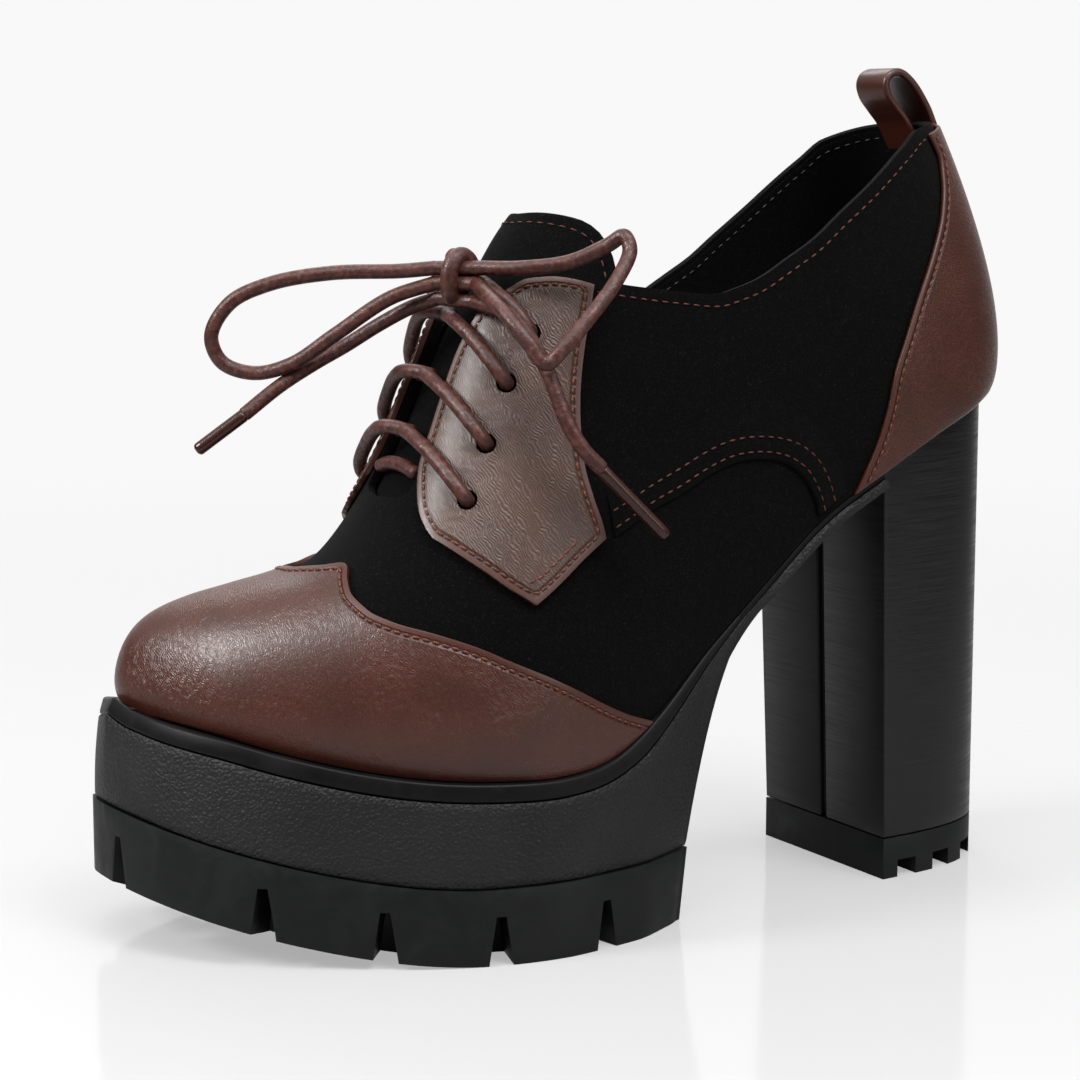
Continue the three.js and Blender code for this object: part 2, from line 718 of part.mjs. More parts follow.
// Outsole: the tread unit under the forefoot, with notches along both edges
const treadLines = platformLines.filter((at) => at <= rearStart);
const notches = [
  { at: 0.9, side: 1 }, { at: 3.75, side: 1 }, { at: 5.35, side: 1 }, { at: 6.95, side: 1 },
  { at: 8.8, side: 1 }, { at: 2.4, side: -1 }, { at: 4.3, side: -1 }, { at: 5.75, side: -1 },
  { at: 7.2, side: -1 }, { at: 8.8, side: -1 },
];

// The unit's rear face leans forwards towards the floor
const rearDraft = 2;

function treadPoint(at, side, above) {
  const foot = platformFoot(at, side, outsoleFlare);
  const z = treadHeight(platformFoot(at, side).y) + above;
  const draft = rearDraft * (1 - above / outsoleHeight) * THREE.MathUtils.smoothstep(at, 9, rearStart);
  return new THREE.Vector3(foot.x, foot.y - draft, z);
}

function notchCutter({ at, side }) {
  const edge = surface(at, 0, side, footReach(at));
  const inner = surface(at, 0, side, footReach(at) - 1);
  const inwards = new THREE.Vector3(inner.x - edge.x, inner.y - edge.y, 0).normalize();
  const clear = 4;
  const shape = new THREE.Shape([
    new THREE.Vector2(-notchBaseWidth / 2, -clear),
    new THREE.Vector2(notchBaseWidth / 2, -clear),
    new THREE.Vector2(notchBaseWidth / 2, 0),
    new THREE.Vector2(notchTopWidth / 2, notchHeight),
    new THREE.Vector2(-notchTopWidth / 2, notchHeight),
    new THREE.Vector2(-notchBaseWidth / 2, 0),
  ]);
  const geometry = new THREE.ExtrudeGeometry(shape, { depth: notchDepth + clear, bevelEnabled: false });
  const up = new THREE.Vector3(0, 0, 1);
  const frame = new THREE.Matrix4().makeBasis(up.clone().cross(inwards), up, inwards);
  frame.setPosition(edge.x - inwards.x * clear, edge.y - inwards.y * clear, treadHeight(edge.y));
  geometry.applyMatrix4(frame);
  return solidOf(geometry);
}

function makeOutsole() {
  const unit = loft(treadLines.map((at) => [
    treadPoint(at, 1, outsoleHeight),
    treadPoint(at, 1, 0),
    treadPoint(at, -1, 0),
    treadPoint(at, -1, outsoleHeight),
  ]), true, false);
  return notches.reduce((left, notch) => left.subtract(notchCutter(notch)), unit);
}

// Heel: a D-shaped block. The outline starts at the inner end of the flat breast, which carries
// a groove, and runs round the curved back.
const heelSides = 14;
const sideTaper = 0.12;

function heelOutline(width, depth, grooved) {
  const back = (t) => {
    const half = (width / 2) * (1 - sideTaper * t) * (1 - t ** 3) ** (1 / 2.2);
    return new THREE.Vector2(half, t * depth);
  };
  const outer = steps(heelSides, (t) => back(Math.sin((t * Math.PI) / 2)));
  const inner = outer.slice(0, -1).reverse().map((p) => new THREE.Vector2(-p.x, p.y));
  const groove = grooved ? [
    new THREE.Vector2(-grooveWidth / 2, 0), new THREE.Vector2(-grooveWidth / 2, grooveDepth),
    new THREE.Vector2(grooveWidth / 2, grooveDepth), new THREE.Vector2(grooveWidth / 2, 0),
  ] : [];
  return [...outer, ...inner, ...groove];
}

// A block between two outlines with as many points, capped at both ends
function block(foot, head) {
  const body = new Body();
  const flat = foot.map((p) => new THREE.Vector2(p.x, p.y));
  for (const [a, b, c] of THREE.ShapeUtils.triangulateShape(flat, [])) {
    body.triangle(foot[a], foot[c], foot[b]);
    body.triangle(head[a], head[b], head[c]);
  }
  for (let i = 0; i < foot.length; i += 1) {
    const m = (i + 1) % foot.length;
    body.quad(foot[i], foot[m], head[m], head[i]);
  }
  return body.solid();
}

const heelTopOverhang = 2;
const heelTopDepth = stations[lastStation].base * lastLength + heelTopOverhang - breastTop;

function makeHeel() {
  const foot = heelOutline(heelWidth, heelDepth, true)
    .map((p) => new THREE.Vector3(p.x, breastPlace + p.y, topPieceHeight + gap));
  const head = heelOutline(heelWidth * heelTopFlare, heelTopDepth, true).map((p) => {
    const y = breastTop + p.y;
    const at = stationAt(y);
    return new THREE.Vector3(p.x, y, baseHeight(at) - gap / baseNormal(at).z);
  });
  return block(foot, head);
}

// Top piece: the lift under the heel, with three slots cut in from each side
const slotFirst = 7.7;

function makeTopPiece() {
  const outline = heelOutline(heelWidth, heelDepth, false);
  const ring = (z) => outline.map((p) => new THREE.Vector3(p.x, breastPlace + p.y, z));
  const lift = block(ring(0), ring(topPieceHeight));
  const cutters = [0, 1, 2].flatMap((i) => [1, -1].map((side) => {
    const y = breastPlace + slotFirst + i * slotPitch;
    const t = (y - breastPlace) / heelDepth;
    const edge = (heelWidth / 2) * (1 - sideTaper * t) * (1 - t ** 3) ** (1 / 2.2);
    const outside = heelWidth;
    const cutter = new THREE.BoxGeometry(outside, slotWidth, 2 * slotHeight);
    cutter.translate(side * (edge - slotDepth + outside / 2), y, 0);
    return solidOf(cutter);
  }));
  return cutters.reduce((left, cutter) => left.subtract(cutter), lift);
}

// Pull loop: a band that stands on the collar's back edge, one leg down each side of the wall.
// forward is a share of the loop's reach, up of its height, from the outer leg at the collar.
const loopLine = [
  { forward: 0.1, up: 0.28 },
  { forward: 0.39, up: 0.7 },
  { forward: 0.745, up: 1 },
  { forward: 0.985, up: 0.96 },
  { forward: 0.975, up: 0.72 },
  { forward: 0.7, up: 0.49 },
  { forward: 0.465, up: 0.2 },
];
const legUp = 0.4;
const innerLegClear = 0.6;

function makePullLoop() {
  const top = collarUp(lastStation, 1);
  const out = overlayOutside + gap + loopThickness / 2;
  const inn = -(wall + gap + innerLegClear + loopThickness / 2);
  const leg = (up, outwards) => {
    const point = surface(lastStation, up, 1, outwards);
    return new THREE.Vector2(point.y, point.z);
  };
  const corner = leg(top, out);
  const line = new THREE.SplineCurve([
    leg(legUp, out),
    corner,
    ...loopLine.map(({ forward, up }) => (
      new THREE.Vector2(corner.x - forward * loopReach, corner.y + up * loopHeight)
    )),
    leg(top, inn),
    leg(legUp, inn),
  ]);
  const count = 26;
  const edge = (offset) => steps(count, (t) => {
    const along = line.getTangent(t);
    return line.getPoint(t).add(new THREE.Vector2(-along.y, along.x).multiplyScalar(offset));
  });
  const outline = new THREE.Shape([...edge(loopThickness / 2), ...edge(-loopThickness / 2).reverse()]);
  const band = new THREE.ExtrudeGeometry(outline, { depth: loopWidth, bevelEnabled: false });
  band.applyMatrix4(new THREE.Matrix4().makeBasis(
    new THREE.Vector3(0, 1, 0), new THREE.Vector3(0, 0, 1), new THREE.Vector3(1, 0, 0),
  ).setPosition(-loopWidth / 2, 0, 0));
  const wallZone = hollowForm(overlayOutside + gap, -wall - gap);
  const below = new THREE.BoxGeometry(3 * loopWidth, 3 * loopReach, crownHeight);
  below.translate(0, corner.x, surface(lastStation, top, 1, 0).z + gap - crownHeight / 2);
  return solidOf(band).subtract(wallZone.intersect(solidOf(below)));
}

// A round cord along a list of points
function cord(points, diameter, count, sides = 8) {
  const curve = new THREE.CatmullRomCurve3(points, false, 'centripetal');
  const section = new THREE.Shape(steps(sides, (t) => new THREE.Vector2(
    (diameter / 2) * Math.cos(t * 2 * Math.PI),
    (diameter / 2) * Math.sin(t * 2 * Math.PI),
  )).slice(0, -1));
  const sweep = { steps: count, extrudePath: curve, bevelEnabled: false };
  const geometry = new THREE.ExtrudeGeometry(section, sweep);
  return solidOf(geometry);
}

// Lacing: at each pair of holes one strand from either side comes up through its hole and crosses
// the throat, the inner one on top, and both stop at the far facing's edge. height is a share of
// the height that clears the facing, from the upper's surface.
const laceAbove = gap + overlay + laceDiameter / 2 + gap;
const strandPath = [
  { across: 0, height: -0.4, lift: 0 },
  { across: 0, height: 0.35, lift: 0 },
  { across: 0.015, height: 0.82, lift: 0 },
  { across: 0.11, height: 1.08, lift: 0 },
  { across: 0.4, height: 1.06, lift: 0 },
  { across: 0.6, height: 1.02, lift: 0.3 },
  { across: 0.78, height: 0.8, lift: 1 },
  { across: 0.95, height: 0.4, lift: 1 },
  { across: 1.14, height: 0.05, lift: 0.6 },
];
const strandLift = 1.2;
const strandSlant = 0.1;
const firstSlanted = 3;
const strandSteps = 8;

function makeCrossing(hole) {
  const strand = (side, lift) => cord(strandPath.map((row, i) => {
    const slant = strandSlant * Math.max(0, i - firstSlanted) / (strandPath.length - firstSlanted);
    const across = (1 - hole.up) * (1 - row.across);
    return over(hole.at + slant, side * across, row.height * laceAbove + row.lift * lift);
  }), laceDiameter, strandSteps);
  return strand(1, 0).add(strand(-1, strandLift));
}

// The last pair of holes carries one strand that passes under the knot
const topStrand = [
  { across: 1, height: -0.4, slant: 0 },
  { across: 1, height: 0.35, slant: 0 },
  { across: 0.985, height: 0.82, slant: 0 },
  { across: 0.89, height: 1.08, slant: 0 },
  { across: 0.6, height: 1.04, slant: -0.05 },
  { across: 0.36, height: 0.72, slant: -0.08 },
  { across: 0.15, height: 0.3, slant: -0.08 },
];

function makeTopStrand(hole) {
  const half = (side) => topStrand.map((row) => (
    over(hole.at + row.slant, side * row.across * (1 - hole.up), row.height * laceAbove)
  ));
  return (diameter) => cord([...half(1), ...half(-1).reverse()], diameter, 2 * strandSteps);
}

const bottomBarStation = 7.72;

function makeBottomBar() {
  const rows = [0.09, 0.045, 0, -0.045, -0.09];
  const height = -(wall + tongueClear) + laceDiameter / 2 + gap;
  return cord(rows.map((across) => over(bottomBarStation, across, height)), laceDiameter, 6);
}

// The bow: a knot over the top crossing, two loops, and two ends with their tips. The points of
// the cords are in millimetres, from the knot outwards.
const knotPlace = { x: 8.5, y: -8.4, z: 148 };
const knotSize = { x: 8.5, y: 7.2, z: 11.5 };
const knotFacing = -0.52;
const knotTurn = -0.2;
const knotBoxy = 0.8;
const bow = {
  bow_loop_inner: [
    [5.5, -12, 150.3], [1, -18.4, 149.6], [-9, -30.7, 149], [-16, -42.2, 146.6], [-21, -49.7, 142.3],
    [-24, -53.1, 134.9], [-24, -50.6, 128.9], [-20, -44.8, 126.5], [-14, -38, 128.7], [-7, -30.6, 135.4],
    [0, -20.4, 143.6], [5.5, -12, 147],
  ],
  bow_loop_outer: [
    [13, -5.7, 150.5], [21.5, 0.6, 150.7], [28, 9.4, 152.1], [33, 16.1, 155.8], [36, 18.3, 157.8],
    [38, 18.6, 154.9], [40, 14.1, 148.6], [42, 6.1, 141], [42, -0.8, 134.2], [40.5, -3.9, 131.3],
    [38, -6.9, 135.9], [32, -9.1, 141.6], [14, -6.3, 147],
  ],
  lace_end_inner: [
    [5.5, -11.2, 143.6], [-1, -14.4, 141.4], [-7, -19.4, 137.4], [-12, -25.7, 132.4], [-14.5, -32, 128.6],
    [-16, -40.1, 123.7], [-17, -48.3, 117.7],
  ],
  lace_end_outer: [
    [13.5, -6.3, 143], [24.5, -4.1, 141], [31.5, -2.1, 135.3], [36.5, -1.1, 129.1], [41, 1.3, 118.2],
    [43, 4.1, 112.6], [44, 7.8, 108.6],
  ],
};
const tips = {
  lace_tip_inner: [
    [-17, -48.8, 117.3], [-21, -57.8, 110],
  ],
  lace_tip_outer: [
    [44, 8.3, 107.9], [46, 22.7, 93.4],
  ],
};
const bowSteps = { bow_loop_inner: 18, bow_loop_outer: 18, lace_end_inner: 7, lace_end_outer: 7 };
const tipDiameter = 3;
const lastHole = laceHoles[laceHoles.length - 1];
const topStrandOf = makeTopStrand(lastHole);

function makeKnot() {
  const blob = new THREE.SphereGeometry(1, 10, 7);
  const corners = blob.attributes.position;
  const boxy = (v, size) => (Math.sign(v) * Math.abs(v) ** knotBoxy * size) / 2;
  for (let i = 0; i < corners.count; i += 1) {
    corners.setXYZ(
      i,
      boxy(corners.getX(i), knotSize.x),
      boxy(corners.getY(i), knotSize.y),
      boxy(corners.getZ(i), knotSize.z),
    );
  }
  blob.rotateZ(knotFacing);
  blob.rotateX(knotTurn);
  blob.translate(knotPlace.x, knotPlace.y, knotPlace.z);
  return solidOf(blob).subtract(topStrandOf(laceDiameter + 2 * gap));
}

const pointsOf = (rows) => rows.map((row) => new THREE.Vector3(...row));

const black = { suede: 0x0f0f10, rubber: 0x2a2b2c, heel: 0x1b1b1c, rim: 0x232425, lining: 0x141414 };
const brown = { smooth: 0x4d2a20, grained: 0x6a5048, cord: 0x653f37 };

const group = new THREE.Group();
function part(name, solid, color, roughness) {
  const material = new THREE.MeshStandardMaterial({ color, roughness, metalness: 0 });
  const mesh = new THREE.Mesh(geometryOf(solid), material);
  mesh.name = name;
  group.add(mesh);
}

const upper = [1, -1].reduce((solid, side) => withHoles(solid.add(makeSeamBand(side)), side), makeUpper());

part('upper', upper, black.suede, 0.95);
part('toe_cap', makeToeCap(), brown.smooth, 0.45);
part('eyestay_outer', makeEyestay(1), brown.grained, 0.5);
part('eyestay_inner', makeEyestay(-1), brown.grained, 0.5);
part('counter', makeCounter(), brown.smooth, 0.45);
part('pull_loop', makePullLoop(), brown.smooth, 0.45);
part('tongue', makeTongue(), black.suede, 0.95);
part('insole', makeInsole(), black.lining, 0.7);
part('rim', makeRim(), black.rim, 0.55);
part('platform', makePlatform(), black.rubber, 0.75);
part('outsole', makeOutsole(), black.rubber, 0.7);
part('heel', makeHeel(), black.heel, 0.5);
part('top_piece', makeTopPiece(), black.rubber, 0.6);
laceHoles.slice(0, -1).forEach((hole, i) => part(`lacing_${i + 1}`, makeCrossing(hole), brown.cord, 0.5));
part('lacing_4', topStrandOf(laceDiameter), brown.cord, 0.5);
part('lacing_bottom', makeBottomBar(), brown.cord, 0.5);
part('knot', makeKnot(), brown.cord, 0.5);
for (const [name, rows] of Object.entries(bow)) {
  part(name, cord(pointsOf(rows), laceDiameter, bowSteps[name]), brown.cord, 0.5);
}
for (const [name, rows] of Object.entries(tips)) {
  part(name, cord(pointsOf(rows), tipDiameter, 1), black.lining, 0.3);
}

export default group;
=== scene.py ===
"""Heeled oxford shoe, left foot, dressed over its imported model.

The toe points to -Y, the outer side of the foot to +X, up is +Z, and the origin is the middle of
the flat tread patch under the ball. Sizes are in millimetres until a mesh is written in metres.
"""
from __future__ import annotations

import logging
import math
from dataclasses import dataclass, field
from enum import Enum
from typing import Callable, Sequence

import bmesh
import bpy
from mathutils import Matrix, Vector
from mathutils.kdtree import KDTree

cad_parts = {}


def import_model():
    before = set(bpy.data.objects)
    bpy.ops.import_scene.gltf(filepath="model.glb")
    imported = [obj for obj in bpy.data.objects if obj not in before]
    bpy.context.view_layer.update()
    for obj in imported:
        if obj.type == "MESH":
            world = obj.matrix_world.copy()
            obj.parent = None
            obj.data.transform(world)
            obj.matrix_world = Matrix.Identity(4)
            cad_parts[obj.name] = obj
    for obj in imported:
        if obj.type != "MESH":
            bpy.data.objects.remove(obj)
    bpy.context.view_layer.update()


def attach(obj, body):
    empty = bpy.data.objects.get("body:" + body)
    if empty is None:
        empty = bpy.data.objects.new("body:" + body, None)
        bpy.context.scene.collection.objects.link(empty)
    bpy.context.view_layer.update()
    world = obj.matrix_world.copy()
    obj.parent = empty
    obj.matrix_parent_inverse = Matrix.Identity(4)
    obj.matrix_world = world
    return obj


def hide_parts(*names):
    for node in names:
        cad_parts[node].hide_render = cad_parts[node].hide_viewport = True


LOG = logging.getLogger("shoe")
MM = 0.001
BODY = "root"
Tree = bpy.types.NodeTree
Socket = bpy.types.NodeSocket
Piece = bpy.types.Object
Line = Sequence[Vector]
Grid = list[list[Vector]]


class Side(Enum):
    """The two halves of the foot."""

    OUTER = 1
    INNER = -1


class Slot(Enum):
    """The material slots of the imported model."""

    SUEDE = "suede"
    SMOOTH = "smooth_leather"
    GRAINED = "grained_leather"
    LINING = "lining_leather"
    RIM = "rim_strip"
    PLATFORM = "platform_wrap"
    RUBBER = "sole_rubber"
    HEEL = "heel_block"
    CORD = "lace_cord"
    TIP = "lace_tip"


# Shaders


KINDS = {
    # a word for a node, with its type, its usual output and its own settings
    "noise": ("ShaderNodeTexNoise", "Fac", {}),
    "wave": ("ShaderNodeTexWave", "Fac", {"bands_direction": "DIAGONAL"}),
    "cells": ("ShaderNodeTexVoronoi", "Distance", {"feature": "SMOOTH_F1"}),
    "range": ("ShaderNodeMapRange", "Result", {"interpolation_type": "SMOOTHSTEP"}),
    "sum": ("ShaderNodeMath", 0, {"operation": "ADD"}),
    "times": ("ShaderNodeMath", 0, {"operation": "MULTIPLY"}),
    "mix": ("ShaderNodeMix", 2, {"data_type": "RGBA"}),
    "bump": ("ShaderNodeBump", "Normal", {}),
}


def linear(colour: str) -> tuple[float, float, float, float]:
    """Turn an sRGB hex colour to linear RGBA.

    Args:
        colour: The colour as "#rrggbb".

    Returns:
        Four linear channels, the last one 1.
    """
    channels = [int(colour[i:i + 2], 16) / 255 for i in (1, 3, 5)]
    straight = [c / 12.92 if c <= 0.04045 else ((c + 0.055) / 1.055) ** 2.4 for c in channels]
    return (*straight, 1.0)


def add(tree: Tree, kind: str, inputs: dict | Sequence = (), out: int | str | None = None,
        **settings: object) -> Socket | None:
    """Add a node with its settings and links.

    Args:
        tree: The tree that gets the node.
        kind: A word of KINDS, or a node's type.
        inputs: A value, an sRGB hex colour or an output to link, for each input by name or number.
        out: The output to return, where it isn't the usual one.
        **settings: The node's own properties.

    Returns:
        One output of the node, or None where it has none.
    """
    kind, usual, own = KINDS.get(kind, (kind, 0, {}))
    node = tree.nodes.new(kind)
    for name, value in {**own, **settings}.items():
        setattr(node, name, value)
    for key, value in inputs.items() if isinstance(inputs, dict) else enumerate(inputs):
        if isinstance(value, bpy.types.NodeSocket):
            tree.links.new(value, node.inputs[key])
        else:
            node.inputs[key].default_value = linear(value) if isinstance(value, str) else value
    return node.outputs[usual if out is None else out] if len(node.outputs) else None


def sized(place: Socket, size: float, detail: float = 2, **more: float) -> dict:
    """Return the inputs of a pattern whose features are about one size wide.

    Args:
        place: The coordinates that it lies on.
        size: The width of a feature in millimetres.
        detail: How many finer layers it has.
        **more: Further inputs by name.

    Returns:
        The inputs by name.
    """
    return {"Vector": place, "Scale": 1 / (size * MM), "Detail": detail, **more}


@dataclass(frozen=True)
class Finish:
    """What every finish has: a name, two colours that it varies between, and its gloss."""

    name: str
    dark: str
    light: str
    roughness: float
    ior: float = 1.5

    def material(self) -> bpy.types.Material:
        """Make the material, once for each name.

        Returns:
            The material.
        """
        found = bpy.data.materials.get(self.name)
        if found is not None:
            return found
        material = bpy.data.materials.new(self.name)
        material.use_nodes = True
        tree = material.node_tree
        tree.nodes.clear()
        place = add(tree, "ShaderNodeTexCoord", out="Object")
        looks = {"Roughness": self.roughness, "IOR": self.ior, **self.looks(tree, place)}
        add(tree, "ShaderNodeOutputMaterial", {"Surface": add(tree, "ShaderNodeBsdfPrincipled", looks)})
        return material

    def looks(self, tree: Tree, place: Socket) -> dict:
        """Return the shader's inputs by name.

        Args:
            tree: The material's tree.
            place: The piece's own coordinates.

        Returns:
            Values and outputs to link.
        """
        raise NotImplementedError


@dataclass(frozen=True)
class SuedeFinish(Finish):
    """Sueded split leather, brushed: the nap scatters light, and fibres show as fine short marks.

    The nap's fibres are about 0.05 mm thick. They are drawn 0.3 to 1.3 mm wide so that they show.
    """

    nap: float = 0.3
    fibre: float = 0.9
    strand: float = 1.3
    cloud: float = 14.0
    depth: float = 0.14
    loose: str = "#3a3a3c"

    def looks(self, tree: Tree, place: Socket) -> dict:
        """Return the nap, the fibres and the soft clouds of brushed suede.

        Args:
            tree: The material's tree.
            place: The piece's own coordinates.

        Returns:
            Values and outputs to link.
        """
        nap = add(tree, "noise", sized(place, self.nap, 3))
        fibre = add(tree, "noise", sized(place, self.fibre, 4, Roughness=0.75, Distortion=3.0))
        cloud = add(tree, "noise", sized(place, self.cloud))
        strand = add(tree, "noise", sized(place, self.strand, 1, Distortion=2.2))
        bright = add(tree, "range", (fibre, 0.52, 0.72))
        lit = add(tree, "times", (bright, add(tree, "range", (cloud, 0.3, 0.7))))
        off = add(tree, "sum", (add(tree, "sum", (strand, -0.56)),), operation="ABSOLUTE")
        thin = add(tree, "range", (off, 0.0, 0.02, 1.0, 0.0))
        loose = add(tree, "times", (thin, add(tree, "range", (fibre, 0.46, 0.56))))
        colour = add(tree, "mix", {0: lit, 6: self.dark, 7: self.light})
        height = add(tree, "sum", (nap, fibre))
        return {
            "Base Color": add(tree, "mix", {0: add(tree, "times", (loose, 0.5)), 6: colour, 7: self.loose}),
            "Normal": add(tree, "bump", {"Height": height, "Distance": self.depth * MM, "Strength": 0.7}),
            "Sheen Weight": 0.02,
            "Sheen Roughness": 0.5,
            "Specular IOR Level": 0.07,
        }


@dataclass(frozen=True)
class LeatherFinish(Finish):
    """Coated leather: a thin glossy coat over embossed creases, edges folded and burnished.

    The creases are 0.45 to 0.8 mm wide, a little coarser than the real ones so that they show. Their valleys
    are darkened in colour: painted shade.
    """

    crease: float = 0.6
    flow: float = 9.0
    swirl: float = 2.2
    broken: float = 1.0
    # how strongly the crease valleys are darkened, and the colour they go to: painted shade
    crease_shade_strength: float = 0.0
    crease_shade: str = "#1e110c"
    depth: float = 0.05
    patchy: float = 0.5
    lip: str = "#6d3d2a"
    seam: float = 1.75
    edged: bool = True
    coat: float = 0.2
    fine: float = 0.5
    cloud: float = 16.0

    def looks(self, tree: Tree, place: Socket) -> dict:
        """Return the embossed creases, the burnish and the folded edge, with painted shade in the crease
        valleys and in the stitch groove.

        Args:
            tree: The material's tree.
            place: The piece's own coordinates.

        Returns:
            Values and outputs to link.
        """
        period = math.pi / 10
        flow = add(tree, "wave", {
            "Vector": place, "Scale": period / (self.crease * MM), "Distortion": self.flow,
            "Detail": 1.5, "Detail Scale": self.crease / (self.swirl * period), "Detail Roughness": 0.5,
        })
        gaps = add(tree, "noise", sized(place, self.crease * 2.2))
        breaks = add(tree, "range", (gaps, 0.35, 0.62, 1 - self.broken))
        lines = add(tree, "times", (flow, breaks))
        fine = add(tree, "noise", sized(place, self.fine, 3))
        cloud = add(tree, "noise", sized(place, self.cloud))
        patch = add(tree, "range", (cloud, 0.35, 0.65, 1 - self.patchy))
        height = add(tree, "sum", (add(tree, "times", (lines, patch)), add(tree, "times", (fine, 0.5))))
        tone = add(tree, "sum", (cloud, add(tree, "times", (fine, 0.25))))
        colour = add(tree, "mix", {0: add(tree, "range", (tone, 0.4, 0.8)), 6: self.dark, 7: self.light})
        # painted shade: the crease valleys are darkened in colour
        if self.crease_shade_strength:
            crease_shade = add(tree, "range", (lines, 0.0, 0.7, self.crease_shade_strength, 0.0))
            colour = add(tree, "mix", {0: crease_shade, 6: colour, 7: self.crease_shade})
        if self.edged:
            edge = add(tree, "ShaderNodeAttribute", out="Fac", attribute_name="edge")
            lip = add(tree, "range", (edge, self.seam - 0.75, self.seam - 0.45, 1.0, 0.0))
            groove = add(tree, "times", (
                add(tree, "range", (edge, self.seam - 0.7, self.seam - 0.1)),
                add(tree, "range", (edge, self.seam + 0.1, self.seam + 0.9, 1.0, 0.0)),
            ))
            # painted shade: the stitch groove beside the edge is darkened in colour
            colour = add(tree, "mix", {0: add(tree, "times", (groove, 0.6)), 6: colour, 7: self.dark})
            colour = add(tree, "mix", {0: lip, 6: colour, 7: self.lip})
            flat = add(tree, "times", (height, add(tree, "range", (edge, 1.2, 2.6, 0.15, 1.0))))
            height = add(tree, "sum", (flat, add(tree, "times", (groove, -5.0))))
        return {
            "Base Color": colour,
            "Roughness": add(tree, "range", (fine, 0.2, 0.8, self.roughness - 0.06, self.roughness + 0.08)),
            "Normal": add(tree, "bump", {"Height": height, "Distance": self.depth * MM}),
            "Coat Weight": self.coat,
            "Coat Roughness": 0.32,
        }


@dataclass(frozen=True)
class PebbleFinish(Finish):
    """Leather-look wrap printed with a pebble grain: matt, with a faint gloss on the pebbles."""

    pebble: float = 0.9
    depth: float = 0.2
    warp: float = 0.7
    fine: float = 0.25
    cloud: float = 25.0

    def looks(self, tree: Tree, place: Socket) -> dict:
        """Return the pebbles and the fine grain on them.

        Args:
            tree: The material's tree.
            place: The piece's own coordinates.

        Returns:
            Values and outputs to link.
        """
        stir = add(tree, "noise", sized(place, 2), "Color")
        shift = add(tree, "ShaderNodeVectorMath", (stir, (self.warp * MM,) * 3), operation="MULTIPLY")
        warped = add(tree, "ShaderNodeVectorMath", (place, shift), operation="ADD")
        cells = add(tree, "cells", {"Vector": warped, "Scale": 1 / (self.pebble * MM)})
        fine = add(tree, "noise", sized(place, self.fine, 3))
        cloud = add(tree, "range", (add(tree, "noise", sized(place, self.cloud)), 0.3, 0.7))
        height = add(tree, "sum", (add(tree, "times", (cells, -1.0)), add(tree, "times", (fine, 0.4))))
        return {
            "Base Color": add(tree, "mix", {0: cloud, 6: self.dark, 7: self.light}),
            "Roughness": add(tree, "range", (fine, 0.2, 0.8, self.roughness - 0.08, self.roughness + 0.08)),
            "Normal": add(tree, "bump", {"Height": height, "Distance": self.depth * MM}),
        }


@dataclass(frozen=True)
class RubberFinish(Finish):
    """Moulded rubber: a matt skin with the fine etch of its mould and slight scuffs.

    The real etch is about 0.1 mm. It is drawn 0.28 mm wide so that it shows.
    """

    etch: float = 0.28
    scuff: float = 9.0
    depth: float = 0.03

    def looks(self, tree: Tree, place: Socket) -> dict:
        """Return the mould's etch and the scuffs of use.

        Args:
            tree: The material's tree.
            place: The piece's own coordinates.

        Returns:
            Values and outputs to link.
        """
        etch = add(tree, "noise", sized(place, self.etch, 3))
        scuff = add(tree, "noise", sized(place, self.scuff, 4, Roughness=0.65, Distortion=0.6))
        worn = add(tree, "range", (scuff, 0.42, 0.75))
        return {
            "Base Color": add(tree, "mix", {0: worn, 6: self.dark, 7: self.light}),
            "Roughness": add(tree, "range", (scuff, 0.3, 0.7, self.roughness - 0.07, self.roughness + 0.07)),
            "Normal": add(tree, "bump", {"Height": etch, "Distance": self.depth * MM}),
        }


@dataclass(frozen=True)
class BrushedFinish(Finish):
    """Stacked heel cover, lacquered: level grain lines cross it and break up its long highlight."""

    line: float = 0.34
    run: float = 26.0
    depth: float = 0.035

    def looks(self, tree: Tree, place: Socket) -> dict:
        """Return the level lines and their change in gloss.

        Args:
            tree: The material's tree.
            place: The piece's own coordinates.

        Returns:
            Values and outputs to link.
        """
        run, line = 1 / (self.run * MM), 1 / (self.line * MM)
        stretched = add(tree, "ShaderNodeMapping", {"Vector": place, "Scale": (run, run, line)})
        lines = add(tree, "noise", {"Vector": stretched, "Scale": 1.0, "Detail": 4.0, "Roughness": 0.7})
        shade = add(tree, "range", (lines, 0.35, 0.7))
        return {
            "Base Color": add(tree, "mix", {0: shade, 6: self.dark, 7: self.light}),
            "Roughness": add(tree, "range", (lines, 0.3, 0.7, self.roughness - 0.1, self.roughness + 0.12)),
            "Normal": add(tree, "bump", {"Height": lines, "Distance": self.depth * MM}),
        }


